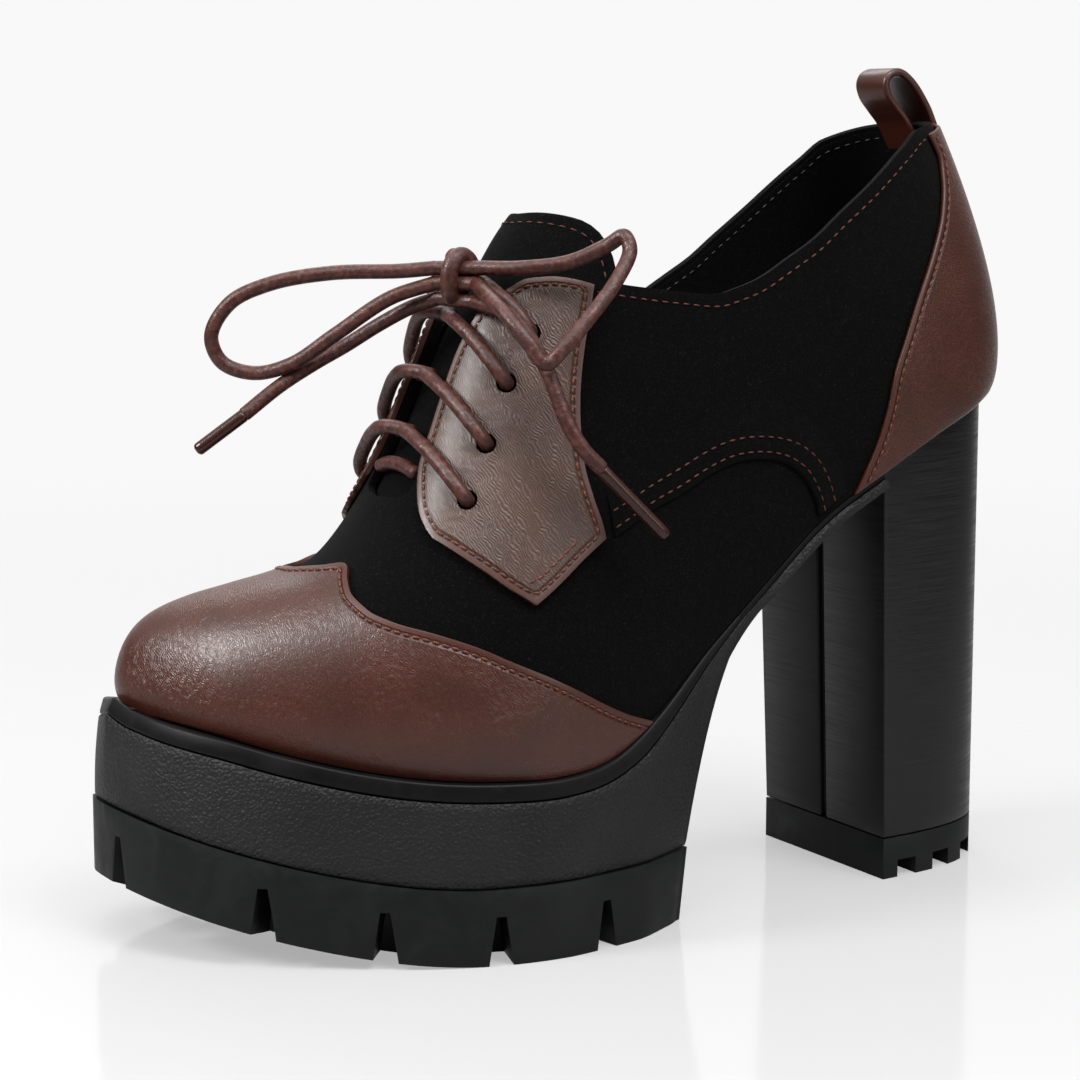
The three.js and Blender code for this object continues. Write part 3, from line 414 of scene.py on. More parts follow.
@dataclass(frozen=True)
class CordFinish(Finish):
    """Waxed round cord: the wax fills the braid, so it shines in small broken specks; the brightest are
    painted lighter in colour: painted glints.
    """

    wax: float = 0.8
    depth: float = 0.16
    # the colour of the painted glints
    glint_colour: str = "#8a625a"

    def looks(self, tree: Tree, place: Socket) -> dict:
        """Return the filled braid, which follows the cord's own map, the wax and its painted glints.

        Args:
            tree: The material's tree.
            place: The piece's own coordinates.

        Returns:
            Values and outputs to link.
        """
        braid = add(tree, "ShaderNodeTexCoord", out="UV")
        cells = add(tree, "cells", {"Vector": braid, "Scale": 1.0, "Randomness": 0.75})
        wax = add(tree, "noise", sized(place, self.wax, 3, Distortion=0.8))
        # painted glints: the glossiest wax specks are painted a lighter colour
        painted_glints = add(tree, "times", (add(tree, "range", (wax, 0.62, 0.76)), 0.35))
        colour = add(tree, "mix", {0: add(tree, "range", (cells, 0.1, 0.6)), 6: self.light, 7: self.dark})
        height = add(tree, "sum", (add(tree, "times", (cells, -1.0)), add(tree, "times", (wax, 0.8))))
        return {
            "Base Color": add(tree, "mix", {0: painted_glints, 6: colour, 7: self.glint_colour}),
            "Roughness": add(tree, "range", (wax, 0.35, 0.7, self.roughness + 0.12, self.roughness - 0.1)),
            "Normal": add(tree, "bump", {"Height": height, "Distance": self.depth * MM}),
        }


@dataclass(frozen=True)
class PlainFinish(Finish):
    """Bonded thread and dipped tips: one material with a faint change of tone."""

    grain: float = 0.4
    depth: float = 0.02

    def looks(self, tree: Tree, place: Socket) -> dict:
        """Return the faint tone and a fine grain.

        Args:
            tree: The material's tree.
            place: The piece's own coordinates.

        Returns:
            Values and outputs to link.
        """
        tone = add(tree, "noise", sized(place, self.grain))
        return {
            "Base Color": add(tree, "mix", {
                0: add(tree, "range", (tone, 0.3, 0.7)), 6: self.dark, 7: self.light,
            }),
            "Normal": add(tree, "bump", {"Height": tone, "Distance": self.depth * MM}),
        }


@dataclass(frozen=True)
class FloorFinish(Finish):
    """Glossy white studio board, which fades into the white backdrop away from the shoe."""

    near: float = 140.0
    far: float = 900.0
    share: float = 0.58

    def looks(self, tree: Tree, place: Socket) -> dict:
        """Return the board's colour and its fade by distance from the shoe.

        Args:
            tree: The material's tree.
            place: The piece's own coordinates.

        Returns:
            Values and outputs to link.
        """
        reach = add(tree, "ShaderNodeVectorMath", (place,), "Value", operation="LENGTH")
        fade = add(tree, "range", (reach, self.near * MM, self.far * MM, self.share, 0.0))
        return {"Base Color": self.light, "Alpha": fade}


SUEDE = SuedeFinish("black sueded leather", "#030303", "#090909", 0.92)
# CALF and FACING paint shade into their crease valleys and their stitch grooves
CALF = LeatherFinish("brown coated leather", "#3f190a", "#4a1f0f", 0.37, ior=1.55, crease=0.45, flow=14.0,
                     swirl=1.8, broken=0.6, crease_shade_strength=0.25, depth=0.06, patchy=0.5, lip="#43190b", coat=0.1)
FACING = LeatherFinish("crinkled brown leather", "#50352a", "#5b3c2e", 0.46, ior=1.58, crease=0.5, flow=13.0,
                       swirl=3.2, broken=0.35, crease_shade_strength=0.62, depth=0.12, patchy=0.1, lip="#451d0f", coat=0.3)
LOOP = LeatherFinish("brown strap leather", "#36160c", "#401b10", 0.34, ior=1.5, depth=0.02, edged=False)
LINING = LeatherFinish("black lining leather", "#070708", "#0f0f10", 0.28, ior=1.5, crease=0.8, depth=0.06,
                       edged=False)
HEEL_LINING = SuedeFinish("black heel lining", "#040404", "#0b0b0c", 0.9, nap=0.4)
RIM = RubberFinish("black edge strip", "#0b0b0c", "#121213", 0.44, ior=1.27)
WRAP = PebbleFinish("pebbled platform wrap", "#171717", "#1f1f20", 0.46, ior=1.38, pebble=0.7, depth=0.32)
RUBBER = RubberFinish("moulded sole rubber", "#0d0e0f", "#161718", 0.5, ior=1.36)
HEEL = BrushedFinish("lacquered heel cover", "#0d0d0e", "#18181a", 0.38, ior=1.42)
CORD = CordFinish("waxed cotton cord", "#3d1a14", "#5c3128", 0.4)
TIP = PlainFinish("dipped lace tip", "#2a110b", "#3a1b13", 0.22)
THREAD = PlainFinish("bonded rust thread", "#3a1609", "#713619", 0.5, grain=0.7)
SEAM_THREAD = PlainFinish("fine rust thread", "#45180e", "#602a1c", 0.6, grain=0.8)
INNER_THREAD = PlainFinish("bonded grey thread", "#262422", "#403d39", 0.55, grain=0.8)
FLOOR = FloorFinish("white studio board", "#c2c2c2", "#c6c6c6", 0.1)


# Curves and tables


def cubic(t: float, start: float | Vector, leave: float | Vector, end: float | Vector,
          arrive: float | Vector) -> float | Vector:
    """Return the cubic between two values with given slopes.

    Args:
        t: The share of the way.
        start: The first value.
        leave: The slope there.
        end: The last value.
        arrive: The slope there.

    Returns:
        The value at the share.
    """
    return ((2 * t ** 3 - 3 * t ** 2 + 1) * start + (t ** 3 - 2 * t ** 2 + t) * leave
            + (3 * t ** 2 - 2 * t ** 3) * end + (t ** 3 - t ** 2) * arrive)


def smooth_table(rows: Sequence[tuple[float, float]]) -> Callable[[float], float]:
    """Return a smooth function through rows of place and value that never overshoots them.

    Args:
        rows: Pairs of place and value, in order of place.

    Returns:
        The function, held at its end values outside the rows.
    """
    xs = [row[0] for row in rows]
    ys = [row[1] for row in rows]
    slopes = [(ys[i + 1] - ys[i]) / (xs[i + 1] - xs[i]) for i in range(len(xs) - 1)]
    tangents = [slopes[0]]
    for before, after in zip(slopes, slopes[1:]):
        tangents.append(2 * before * after / (before + after) if before * after > 0 else 0.0)
    tangents.append(slopes[-1])

    def value(x: float) -> float:
        """Return the table's value at a place.

        Args:
            x: The place.

        Returns:
            The value.
        """
        if x <= xs[0]:
            return ys[0]
        if x >= xs[-1]:
            return ys[-1]
        i = next(k for k in range(len(xs) - 1) if x <= xs[k + 1])
        step = xs[i + 1] - xs[i]
        return cubic((x - xs[i]) / step, ys[i], step * tangents[i], ys[i + 1], step * tangents[i + 1])

    return value


def smooth_edge(rows: Sequence[Sequence[float]],
                corners: Sequence[int] = ()) -> Callable[[float], list[float]]:
    """Return a smooth path through rows, with a sharp corner at some of them.

    Args:
        rows: The rows that it passes.
        corners: Numbers of the rows where it turns sharply.

    Returns:
        A function of a share from 0 to 1 that gives a row.
    """
    last = len(rows) - 1
    sharp = {0, last, *corners}

    def row(share: float) -> list[float]:
        """Return the row at a share of the path.

        Args:
            share: The share.

        Returns:
            The row's values.
        """
        place = min(max(share, 0.0), 1.0) * last
        i = min(int(place), last - 1)
        p1, p2 = rows[i], rows[i + 1]
        p0 = [2 * a - b for a, b in zip(p1, p2)] if i in sharp else rows[i - 1]
        p3 = [2 * b - a for a, b in zip(p1, p2)] if i + 1 in sharp else rows[i + 2]
        return [cubic(place - i, b, (c - a) / 2, c, (d - b) / 2) for a, b, c, d in zip(p0, p1, p2, p3)]

    return row


def smooth_line(points: Line, count: int) -> list[Vector]:
    """Return points of the centripetal curve through a list of points.

    Args:
        points: The points that it passes, at least two.
        count: How many steps the line has.

    Returns:
        One more point than steps.
    """
    found = []
    last = len(points) - 1
    for k in range(count + 1):
        place = last * k / count
        i = min(int(place), last - 1)
        p1, p2 = points[i], points[i + 1]
        p0 = points[i - 1] if i > 0 else 2 * p1 - p2
        p3 = points[i + 2] if i + 2 <= last else 2 * p2 - p1
        d0, d1, d2 = [max((b - a).length, 1e-6) ** 0.5 for a, b in ((p0, p1), (p1, p2), (p2, p3))]
        leave = ((p1 - p0) / d0 - (p2 - p0) / (d0 + d1) + (p2 - p1) / d1) * d1
        arrive = ((p2 - p1) / d1 - (p3 - p1) / (d1 + d2) + (p3 - p2) / d2) * d1
        found.append(cubic(place - i, p1, leave, p2, arrive))
    return found


def length_of(points: Line) -> float:
    """Return the length of a line through points."""
    return sum((b - a).length for a, b in zip(points, points[1:]))


def shares(count: int, low: float = 0.0, high: float = 1.0) -> list[float]:
    """Return evenly spaced values from low to high, one more than count."""
    return [low + (high - low) * i / count for i in range(count + 1)]


def smoothstep(value: float, low: float, high: float) -> float:
    """Return 0 below low, 1 above high and a smooth rise between them."""
    t = min(max((value - low) / (high - low), 0.0), 1.0)
    return t * t * (3 - 2 * t)


def close_in(short: Callable[[float], bool], high: float, rounds: int) -> tuple[float, float]:
    """Close in on the place where a test turns from true to false.

    Args:
        short: The test, true from 0 up to the place.
        high: Where the search ends.
        rounds: How often the range is halved.

    Returns:
        The last range.
    """
    low = 0.0
    for _ in range(rounds):
        middle = (low + high) / 2
        if short(middle):
            low = middle
        else:
            high = middle
    return low, high


# The last


STATIONS = (
    # base, rise, crown_at, crown, outer, inner, swing, crest, square, tuck, swell
    (-0.3315, 0.148, -0.344, 0.118, 0, 0, -0.571, 0, 2.3, 0, -0.29),
    (-0.328, 0.144, -0.3345, 0.166, 0.195, 0.195, -0.56, 0.012, 2.3, 0.25, -0.27),
    (-0.3168, 0.134, -0.3122, 0.217, 0.383, 0.359, -0.524, 0.029, 2.3, 0.5, -0.22),
    (-0.2905, 0.113, -0.2788, 0.267, 0.563, 0.515, -0.452, 0.06, 2.3, 0.75, -0.13),
    (-0.2431, 0.073, -0.2373, 0.328, 0.73, 0.658, -0.357, 0.107, 2.25, 0.92, -0.04),
    (-0.1851, 0.035, -0.1917, 0.391, 0.874, 0.778, -0.262, 0.155, 2.2, 1, 0),
    (-0.1255, 0.011, -0.155, 0.459, 0.984, 0.865, -0.179, 0.167, 2.1, 1, 0),
    (-0.0605, 0, -0.121, 0.562, 1.059, 0.94, -0.119, 0.143, 2, 1, 0),
    (0.0045, 0, -0.085, 0.707, 1.06, 0.929, -0.071, 0.107, 2, 1, 0),
    (0.0675, 0.032, -0.049, 0.858, 1, 0.857, -0.048, 0.071, 2.05, 1, 0),
    (0.1325, 0.143, -0.0115, 0.956, 0.917, 0.774, -0.024, 0.048, 2.1, 0.92, 0),
    (0.2, 0.307, 0.037, 1.014, 0.845, 0.702, -0.012, 0.024, 2.2, 0.83, 0),
    (0.277, 0.49, 0.1165, 1.048, 0.798, 0.69, 0, 0, 2.3, 0.83, 0),
    (0.358, 0.68, 0.2185, 1.047, 0.774, 0.702, 0, 0, 2.4, 0.83, 0.15),
    (0.442, 0.815, 0.316, 1.033, 0.762, 0.714, 0, 0, 2.45, 0.83, 0.35),
    (0.513, 0.912, 0.3925, 1.01, 0.714, 0.69, 0, 0, 2.45, 0.83, 0.6),
    (0.578, 0.979, 0.45, 0.99, 0.595, 0.583, 0, 0, 2.4, 0.67, 0.85),
    (0.625, 1.024, 0.485, 0.977, 0.369, 0.369, 0, 0, 2.35, 0.38, 0.97),
    (0.643, 1.04, 0.498, 0.97, 0, 0, 0, 0, 2.35, 0, 1),
)
LAST_STATION = len(STATIONS) - 1
MIRRORED = (4, 5)


@dataclass(frozen=True)
class Last:
    """The foot form that every piece of the upper and the sole follows.

    A place on it is a station along the shoe, a share up from the base to the crown, and a side.
    """

    length: float = 215
    ball_half: float = 42
    platform: float = 40.8
    seat_rise: float = 74.2
    crown: float = 100
    heel_swell: float = 9
    tuck: float = 2.4
    tuck_share: float = 0.3
    wall: float = 1.8
    overlay: float = 1.3
    gap: float = 0.3
    base_band: float = 0.06
    rows: dict[float, list[float]] = field(default_factory=dict)

    def row(self, at: float) -> list[float]:
        """Return every column of the table at a station, smoothly between its rows.

        Args:
            at: The station.

        Returns:
            The columns' values, which are kept for the next call.
        """
        if at not in self.rows:
            held = min(max(at, 0.0), LAST_STATION)
            i = min(int(held), LAST_STATION - 1)
            self.rows[at] = [self.blend(name, i, held - i) for name in range(len(STATIONS[0]))]
        return self.rows[at]

    def blend(self, name: int, i: int, t: float) -> float:
        """Return one column between two rows; half widths turn their sign past both ends.

        Args:
            name: The column's number.
            i: The row before.
            t: The share of the way to the next row.

        Returns:
            The value.
        """
        sign = -1 if name in MIRRORED else 1

        def value(k: int) -> float:
            """Return a row's value, mirrored past the ends."""
            inside = LAST_STATION - abs(LAST_STATION - abs(k))
            return STATIONS[inside][name] * (1 if inside == k else sign)

        p0, p1, p2, p3 = [value(k) for k in range(i - 1, i + 3)]
        return cubic(t, p1, (p2 - p0) / 2, p2, (p3 - p1) / 2)

    def base_height(self, at: float) -> float:
        """Return the height of the base at a station."""
        return self.platform + self.seat_rise * self.row(at)[1]

    def base_place(self, at: float) -> float:
        """Return the place of the base along the shoe."""
        return self.length * self.row(at)[0]

    def station_at(self, place: float) -> float:
        """Return the station whose base lies at a place along the shoe."""
        low, high = close_in(lambda at: self.base_place(at) < place, float(LAST_STATION), 40)
        return (low + high) / 2

    def point(self, at: float, up: float, side: float) -> Vector:
        """Return a point of the last.

        Args:
            at: The station.
            up: The share from the base to the crown.
            side: 1 for the outer half, -1 for the inner.

        Returns:
            The point in millimetres.
        """
        base, _, crown_at, crown, outer, inner, swing, crest, power, tuck, swell = self.row(at)
        angle = up * math.pi / 2
        across, along = abs(math.cos(angle)), abs(math.sin(angle))
        radius = (across ** power + along ** power) ** (-1 / power)
        half = self.ball_half * (outer if side > 0 else inner)
        height = radius * along
        drawn_in = self.tuck * tuck * max(0.0, 1 - height / self.tuck_share) ** 2 if half > 0 else 0.0
        swollen = self.heel_swell * swell * math.sin(math.pi * min(height, 1.0) ** 0.6)
        return Vector((
            self.ball_half * (swing + crest * height ** 1.5) + side * (half * radius * across - drawn_in),
            self.length * base + self.length * (crown_at - base) * height + swollen,
            self.base_height(at) + self.crown * crown * height,
        ))

    def base_normal(self, at: float) -> Vector:
        """Return the direction square to the base line, in the side view.

        Args:
            at: The station.

        Returns:
            The direction, one long.
        """
        step, level = 0.05, 1e-4
        dy = self.base_place(at + step) - self.base_place(at - step)
        dz = self.base_height(at + step) - self.base_height(at - step)
        slope = dz / dy if abs(dy) > level else 0.0
        return Vector((0, -slope, 1)).normalized()

    def half_normal(self, at: float, up: float, side: float) -> Vector:
        """Return the direction square to the last's surface on one half.

        Args:
            at: The station.
            up: The share from the base to the crown.
            side: 1 for the outer half, -1 for the inner.

        Returns:
            The direction outwards, one long.
        """
        step = 1e-3
        a = min(max(at, 0.02), LAST_STATION - 0.02)
        u = min(max(up, 0.002), 0.985)
        along = self.point(a + step, u, side) - self.point(a - step, u, side)
        upwards = self.point(a, u + step, side) - self.point(a, u - step, side)
        return (along.cross(upwards) * side).normalized()

    def surface(self, at: float, up: float, side: float, outwards: float) -> Vector:
        """Return a point moved outwards from the last; close to the base it stays in its plane.

        Args:
            at: The station.
            up: The share from the base to the crown.
            side: 1 for the outer half, -1 for the inner.
            outwards: The distance from the last in millimetres.

        Returns:
            The point in millimetres.
        """
        point = self.point(at, up, side)
        if outwards == 0:
            return point
        normal = self.half_normal(at, up, side)
        if at < 1e-6 or at > LAST_STATION - 1e-6 or up > 0.9999:
            normal = normal + self.half_normal(at, up, -side)
            normal.x = 0
            normal.normalize()
        level = 1 - smoothstep(up, 0, self.base_band)
        if level > 0:
            square = self.base_normal(at)
            flat = Vector((normal.x, normal.y, 0)).normalized()
            flat = (flat - square * flat.dot(square)).normalized()
            normal = normal.lerp(flat, level).normalized()
        return point + normal * outwards

    def over(self, at: float, across: float, outwards: float) -> Vector:
        """Return a point in one sweep over the crown, from 1 at the outer base to -1 at the inner."""
        return self.surface(at, 1 - abs(across), -1 if across < 0 else 1, outwards)

    def base_edge(self, at: float, side: float, outwards: float, below: float) -> Vector:
        """Return a point on the base's edge, moved outwards and down square to the base."""
        return self.surface(at, 0, side, outwards) - self.base_normal(at) * below

    def up_for(self, at: float, up: float, side: float, distance: float) -> float:
        """Return how much of up makes a distance along the section.

        Args:
            at: The station.
            up: Where on the section.
            side: 1 for the outer half, -1 for the inner.
            distance: The distance in millimetres.

        Returns:
            The share of up.
        """
        step = 0.01
        arc = (self.point(at, up, side) - self.point(at, up - step, side)).length / step
        return distance / arc


LAST = Last()


# Meshes


def linked(name: str, data: bpy.types.ID) -> Piece:
    """Put a new object into the scene.

    Args:
        name: Its name.
        data: Its mesh, camera or light.

    Returns:
        The object.
    """
    piece = bpy.data.objects.new(name, data)
    bpy.context.scene.collection.objects.link(piece)
    return piece


def new_object(name: str, vertices: Line, faces: Sequence[Sequence[int]],
               edges: Sequence[tuple[int, int]] = ()) -> Piece:
    """Make a mesh object from points in millimetres, with its doubles merged.

    Args:
        name: The piece's name.
        vertices: Its points in millimetres.
        faces: Its faces as numbers of points.
        edges: Loose edges, for a path.

    Returns:
        The object, linked to the scene.
    """
    mesh = bpy.data.meshes.new(name)
    mesh.from_pydata([v * MM for v in vertices], edges, faces)
    if faces:
        work = bmesh.new()
        work.from_mesh(mesh)
        bmesh.ops.remove_doubles(work, verts=work.verts, dist=0.004 * MM)
        bmesh.ops.dissolve_degenerate(work, edges=work.edges, dist=0.002 * MM)
        work.to_mesh(mesh)
        work.free()
    return linked(name, mesh)


def face_outwards(piece: Piece) -> Piece:
    """Turn a closed piece's faces outwards.

    Args:
        piece: The piece.

    Returns:
        The piece.
    """
    work = bmesh.new()
    work.from_mesh(piece.data)
    bmesh.ops.recalc_face_normals(work, faces=work.faces)
    work.to_mesh(piece.data)
    work.free()
    return piece


def sheet_piece(name: str, grids: Sequence[tuple[Grid, bool]]) -> Piece:
    """Make an open sheet from grids of points.

    Args:
        name: The piece's name.
        grids: Each grid, with whether its faces are turned round.

    Returns:
        The piece.
    """
    vertices: list[Vector] = []
    faces: list[list[int]] = []
    for grid, flipped in grids:
        columns = len(grid[0])
        for i in range(len(grid) - 1):
            for j in range(columns - 1):
                a = len(vertices) + i * columns + j
                face = [a, a + columns, a + columns + 1, a + 1]
                faces.append(face[::-1] if flipped else face)
        vertices += [point for row in grid for point in row]
    return new_object(name, vertices, faces)


def ring_faces(rings: int, count: int) -> list[list[int]]:
    """Return the faces between rings of points that are numbered ring by ring."""
    return [[i * count + k, i * count + m, (i + 1) * count + m, (i + 1) * count + k]
            for i in range(rings - 1) for k in range(count) for m in [(k + 1) % count]]


def loft_piece(name: str, rings: Sequence[Line]) -> Piece:
    """Make a closed body through rings that run down one side of the shoe and up the other.

    Args:
        name: The piece's name.
        rings: Rings of an even number of points. The two sides of the first one meet on one line.

    Returns:
        The closed piece, its faces outwards.
    """
    count = len(rings[0])
    end = (len(rings) - 1) * count
    faces = ring_faces(len(rings), count)
    for k in range(count // 2 - 1):
        faces.append([end + k, end + k + 1, end + count - 2 - k, end + count - 1 - k])
    return face_outwards(new_object(name, [point for ring in rings for point in ring], faces))


def outline_piece(name: str, rings: Sequence[Line]) -> Piece:
    """Make a closed block through rings of an outline, capped at both ends.

    Args:
        name: The piece's name.
        rings: The rings.

    Returns:
        The closed piece, its faces outwards.
    """
    count = len(rings[0])
    vertices = [point for ring in rings for point in ring]
    faces = [list(range(count))[::-1], list(range(len(vertices) - count, len(vertices)))]
    return face_outwards(new_object(name, vertices, faces + ring_faces(len(rings), count)))


def baked(piece: Piece) -> Piece:
    """Put the result of a piece's modifiers in its mesh and remove them.

    Args:
        piece: The piece.

    Returns:
        The piece.
    """
    graph = bpy.context.evaluated_depsgraph_get()
    mesh = bpy.data.meshes.new_from_object(piece.evaluated_get(graph))
    piece.modifiers.clear()
    piece.data = mesh
    return piece


def cut(piece: Piece, cutters: Sequence[Piece]) -> None:
    """Cut other pieces out of a piece, and remove them.

    Args:
        piece: The piece.
        cutters: What is cut out of it.
    """
    for cutter in cutters:
        modifier = piece.modifiers.new("cut", "BOOLEAN")
        modifier.operation = "DIFFERENCE"
        modifier.solver = "EXACT"
        modifier.object = cutter
    baked(piece)
    for cutter in cutters:
        bpy.data.objects.remove(cutter)


def rounded(piece: Piece, radius: float, angle: float = 40, segments: int = 3) -> Piece:
    """Round a piece's sharp edges.

    Args:
        piece: The piece.
        radius: How far back the rounding starts, in millimetres.
        angle: The least angle of an edge that counts as sharp, in degrees.
        segments: How many faces make the round.

    Returns:
        The piece, with its shading smooth.
    """
    bevel = piece.modifiers.new("round", "BEVEL")
    bevel.width = radius * MM
    bevel.segments = segments
    bevel.limit_method = "ANGLE"
    bevel.angle_limit = math.radians(angle)
    bevel.use_clamp_overlap = True
    return smooth(baked(piece))


def smooth(piece: Piece, angle: float = 50) -> Piece:
    """Shade a piece smooth.

    Args:
        piece: The piece.
        angle: The least angle of an edge that stays sharp, in degrees.

    Returns:
        The piece.
    """
    piece.data.shade_smooth()
    piece.data.set_sharp_from_angle(angle=math.radians(angle))
    return piece


def thickened(piece: Piece, thickness: float) -> Piece:
    """Give a sheet its thickness inwards.

    Args:
        piece: The sheet.
        thickness: The thickness in millimetres.

    Returns:
        The closed piece.
    """
    solid = piece.modifiers.new("thickness", "SOLIDIFY")
    solid.thickness = thickness * MM
    solid.offset = -1
    solid.use_even_offset = False
    return baked(piece)


def nearest(border: Line) -> KDTree:
    """Return a store that finds the nearest point of a border.

    Args:
        border: The border's points.

    Returns:
        The store.
    """
    tree = KDTree(len(border))
    for i, point in enumerate(border):
        tree.insert(point, i)
    tree.balance()
    return tree


def mark_edge(piece: Piece, border: Line) -> None:
    """Write each vertex's distance from a border, in millimetres, to the attribute edge.

    Args:
        piece: The piece.
        border: The border's points, close together.
    """
    tree = nearest(border)
    attribute = piece.data.attributes.new("edge", "FLOAT", "POINT")
    attribute.data.foreach_set("value", [tree.find(vertex.co / MM)[2] for vertex in piece.data.vertices])


def dense(points: Line, spacing: float = 0.25) -> list[Vector]:
    """Return a line with points no further apart than a spacing.

    Args:
        points: The line.
        spacing: The spacing in millimetres.

    Returns:
        The denser line.
    """
    found = []
    for a, b in zip(points, points[1:]):
        count = max(1, math.ceil((b - a).length / spacing))
        found += [a.lerp(b, k / count) for k in range(count)]
    return [*found, points[-1]]


def inset_line(border: Line, inwards: Sequence[Callable[[float], Vector]], distance: float) -> list[Vector]:
    """Return a line that keeps a distance from a border.

    Args:
        border: The border's points, close together.
        inwards: For each point of the line, the path from the border inwards by a share.
        distance: The distance in millimetres.

    Returns:
        One point for each path.
    """
    tree = nearest(border)
    return [path(close_in(lambda share, path=path: tree.find(path(share))[2] < distance, 1.0, 14)[1])
            for path in inwards]


def tube_piece(name: str, line: Line, radius: float, sides: int = 14) -> Piece:
    """Make a round cord along a line, with domed ends and a map that runs with it.

    Args:
        name: The piece's name.
        line: Points in millimetres, close together.
        radius: The radius in millimetres.
        sides: How many sides it has.

    Returns:
        The piece.
    """
    turns, cell, dome = 7.0, 1.25, 0.6
    last = len(line) - 1
    vertices: list[Vector] = []
    places: list[float] = []
    across = (line[1] - line[0]).normalized().orthogonal().normalized()
    run = 0.0
    for i, point in enumerate(line):
        along = (line[min(i + 1, last)] - line[max(i - 1, 0)]).normalized()
        across = (across - along * across.dot(along)).normalized()
        third = along.cross(across)
        for k in range(sides):
            angle = 2 * math.pi * k / sides
            vertices.append(point + (across * math.cos(angle) + third * math.sin(angle)) * radius)
        run += (point - line[max(i - 1, 0)]).length
        places.append(run / cell)
    faces = ring_faces(last + 1, sides)
    maps = [(places[i + a], turns * (k + b) / sides)
            for i in range(last) for k in range(sides) for a, b in ((0, 0), (0, 1), (1, 1), (1, 0))]
    for end, inner, direction in ((0, 1, -1), (last, last - 1, 1)):
        way = (line[end] - line[inner]).normalized() * radius * dome
        ring = [end * sides + k for k in range(sides)]
        spokes = [vertices[k] - line[end] for k in ring]
        for tilt in (math.pi / 6, math.pi / 3):
            fresh = [len(vertices) + k for k in range(sides)]
            vertices += [line[end] + spoke * math.cos(tilt) + way * math.sin(tilt) for spoke in spokes]
            for k in range(sides):
                m = (k + 1) % sides
                faces.append([ring[k], ring[m], fresh[m], fresh[k]][::direction])
                maps += [(0.0, turns * k / sides)] * 4
            ring = fresh
        faces.append(ring[::direction])
        maps += [(0.0, 0.0)] * sides
    mesh = bpy.data.meshes.new(name)
    mesh.from_pydata([v * MM for v in vertices], [], faces)
    layer = mesh.uv_layers.new(name="UVMap")
    for loop, place in zip(layer.data, maps):
        loop.uv = place
    return smooth(face_outwards(linked(name, mesh)))


def finished(piece: Piece, finish: Finish, slot: Slot, *nodes: str) -> Piece:
    """Dress a piece, ride it on the shoe and log it.

    Args:
        piece: The piece.
        finish: Its finish.
        slot: The record's slot that it stands for; not used.
        *nodes: The CAD nodes that it replaces.

    Returns:
        The piece.
    """
    piece.data.materials.clear()
    piece.data.materials.append(finish.material())
    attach(piece, BODY)
    if nodes:
        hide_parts(*nodes)
    LOG.info("%s: %d faces, %s", piece.name, len(piece.data.polygons), finish.name)
    return piece


# Stitches


class Stitching:
    """Rows of stitches, laid along lines by Geometry Nodes."""

    sizes = (
        # input, kind
        ("Pitch", "Float"), ("Stitch length", "Float"), ("Thread diameter", "Float"), ("Thread", "Material"),
    )

    def __init__(self) -> None:
        """Build the tree, with named inputs for the thread's sizes."""
        self.tree = tree = bpy.data.node_groups.new("stitch rows", "GeometryNodeTree")
        face = tree.interface
        face.new_socket("Geometry", in_out="INPUT", socket_type="NodeSocketGeometry")
        self.inputs = {name: face.new_socket(name, in_out="INPUT", socket_type=f"NodeSocket{kind}")
                       for name, kind in self.sizes}
        face.new_socket("Geometry", in_out="OUTPUT", socket_type="NodeSocketGeometry")
        given = {name: add(tree, "NodeGroupInput", out=name) for name in ("Geometry", *self.inputs)}
        line = add(tree, "GeometryNodeMeshToCurve", {"Mesh": given["Geometry"]})
        pitch = given["Pitch"]
        places = add(tree, "GeometryNodeResampleCurve", {"Curve": line, "Length": pitch}, mode="LENGTH")
        bead = add(tree, "GeometryNodeMeshUVSphere", {"Segments": 6, "Rings": 5, "Radius": 0.5})
        wide = given["Thread diameter"]
        size = add(tree, "ShaderNodeCombineXYZ", {"X": wide, "Y": wide, "Z": given["Stitch length"]})
        stitch = add(tree, "GeometryNodeTransform", {"Geometry": bead, "Scale": size})
        along = add(tree, "GeometryNodeInputTangent")
        turn = add(tree, "FunctionNodeAlignRotationToVector", {"Vector": along}, axis="Z")
        laid = add(tree, "GeometryNodeInstanceOnPoints", {
            "Points": places, "Instance": stitch, "Rotation": turn,
        })
        real = add(tree, "GeometryNodeRealizeInstances", {"Geometry": laid})
        soft = add(tree, "GeometryNodeSetShadeSmooth", {"Geometry": real})
        dressed = add(tree, "GeometryNodeSetMaterial", {"Geometry": soft, "Material": given["Thread"]})
        add(tree, "NodeGroupOutput", {"Geometry": dressed})

    def sew(self, name: str, rows: Sequence[Line], slot: Slot, pitch: float, length: float, diameter: float,
            finish: Finish = THREAD) -> Piece:
        """Sew rows of stitches.

        Args:
            name: The piece's name.
            rows: The lines, in millimetres.
            slot: The slot of the leather that they hold.
            pitch: From stitch to stitch.
            length: A stitch's length.
            diameter: The thread's diameter, drawn a little thick so that it shows.
            finish: The thread's finish.

        Returns:
            The stitches as one plain mesh.
        """
        edges = []
        start = 0
        for row in rows:
            edges += [(start + i, start + i + 1) for i in range(len(row) - 1)]
            start += len(row)
        piece = new_object(name, [point for row in rows for point in row], [], edges)
        modifier = piece.modifiers.new("stitches", "NODES")
        modifier.node_group = self.tree
        values = (pitch * MM, length * MM, diameter * MM, finish.material())
        for socket, value in zip(self.inputs.values(), values):
            modifier[socket.identifier] = value
        return finished(baked(piece), finish, slot)


# The upper


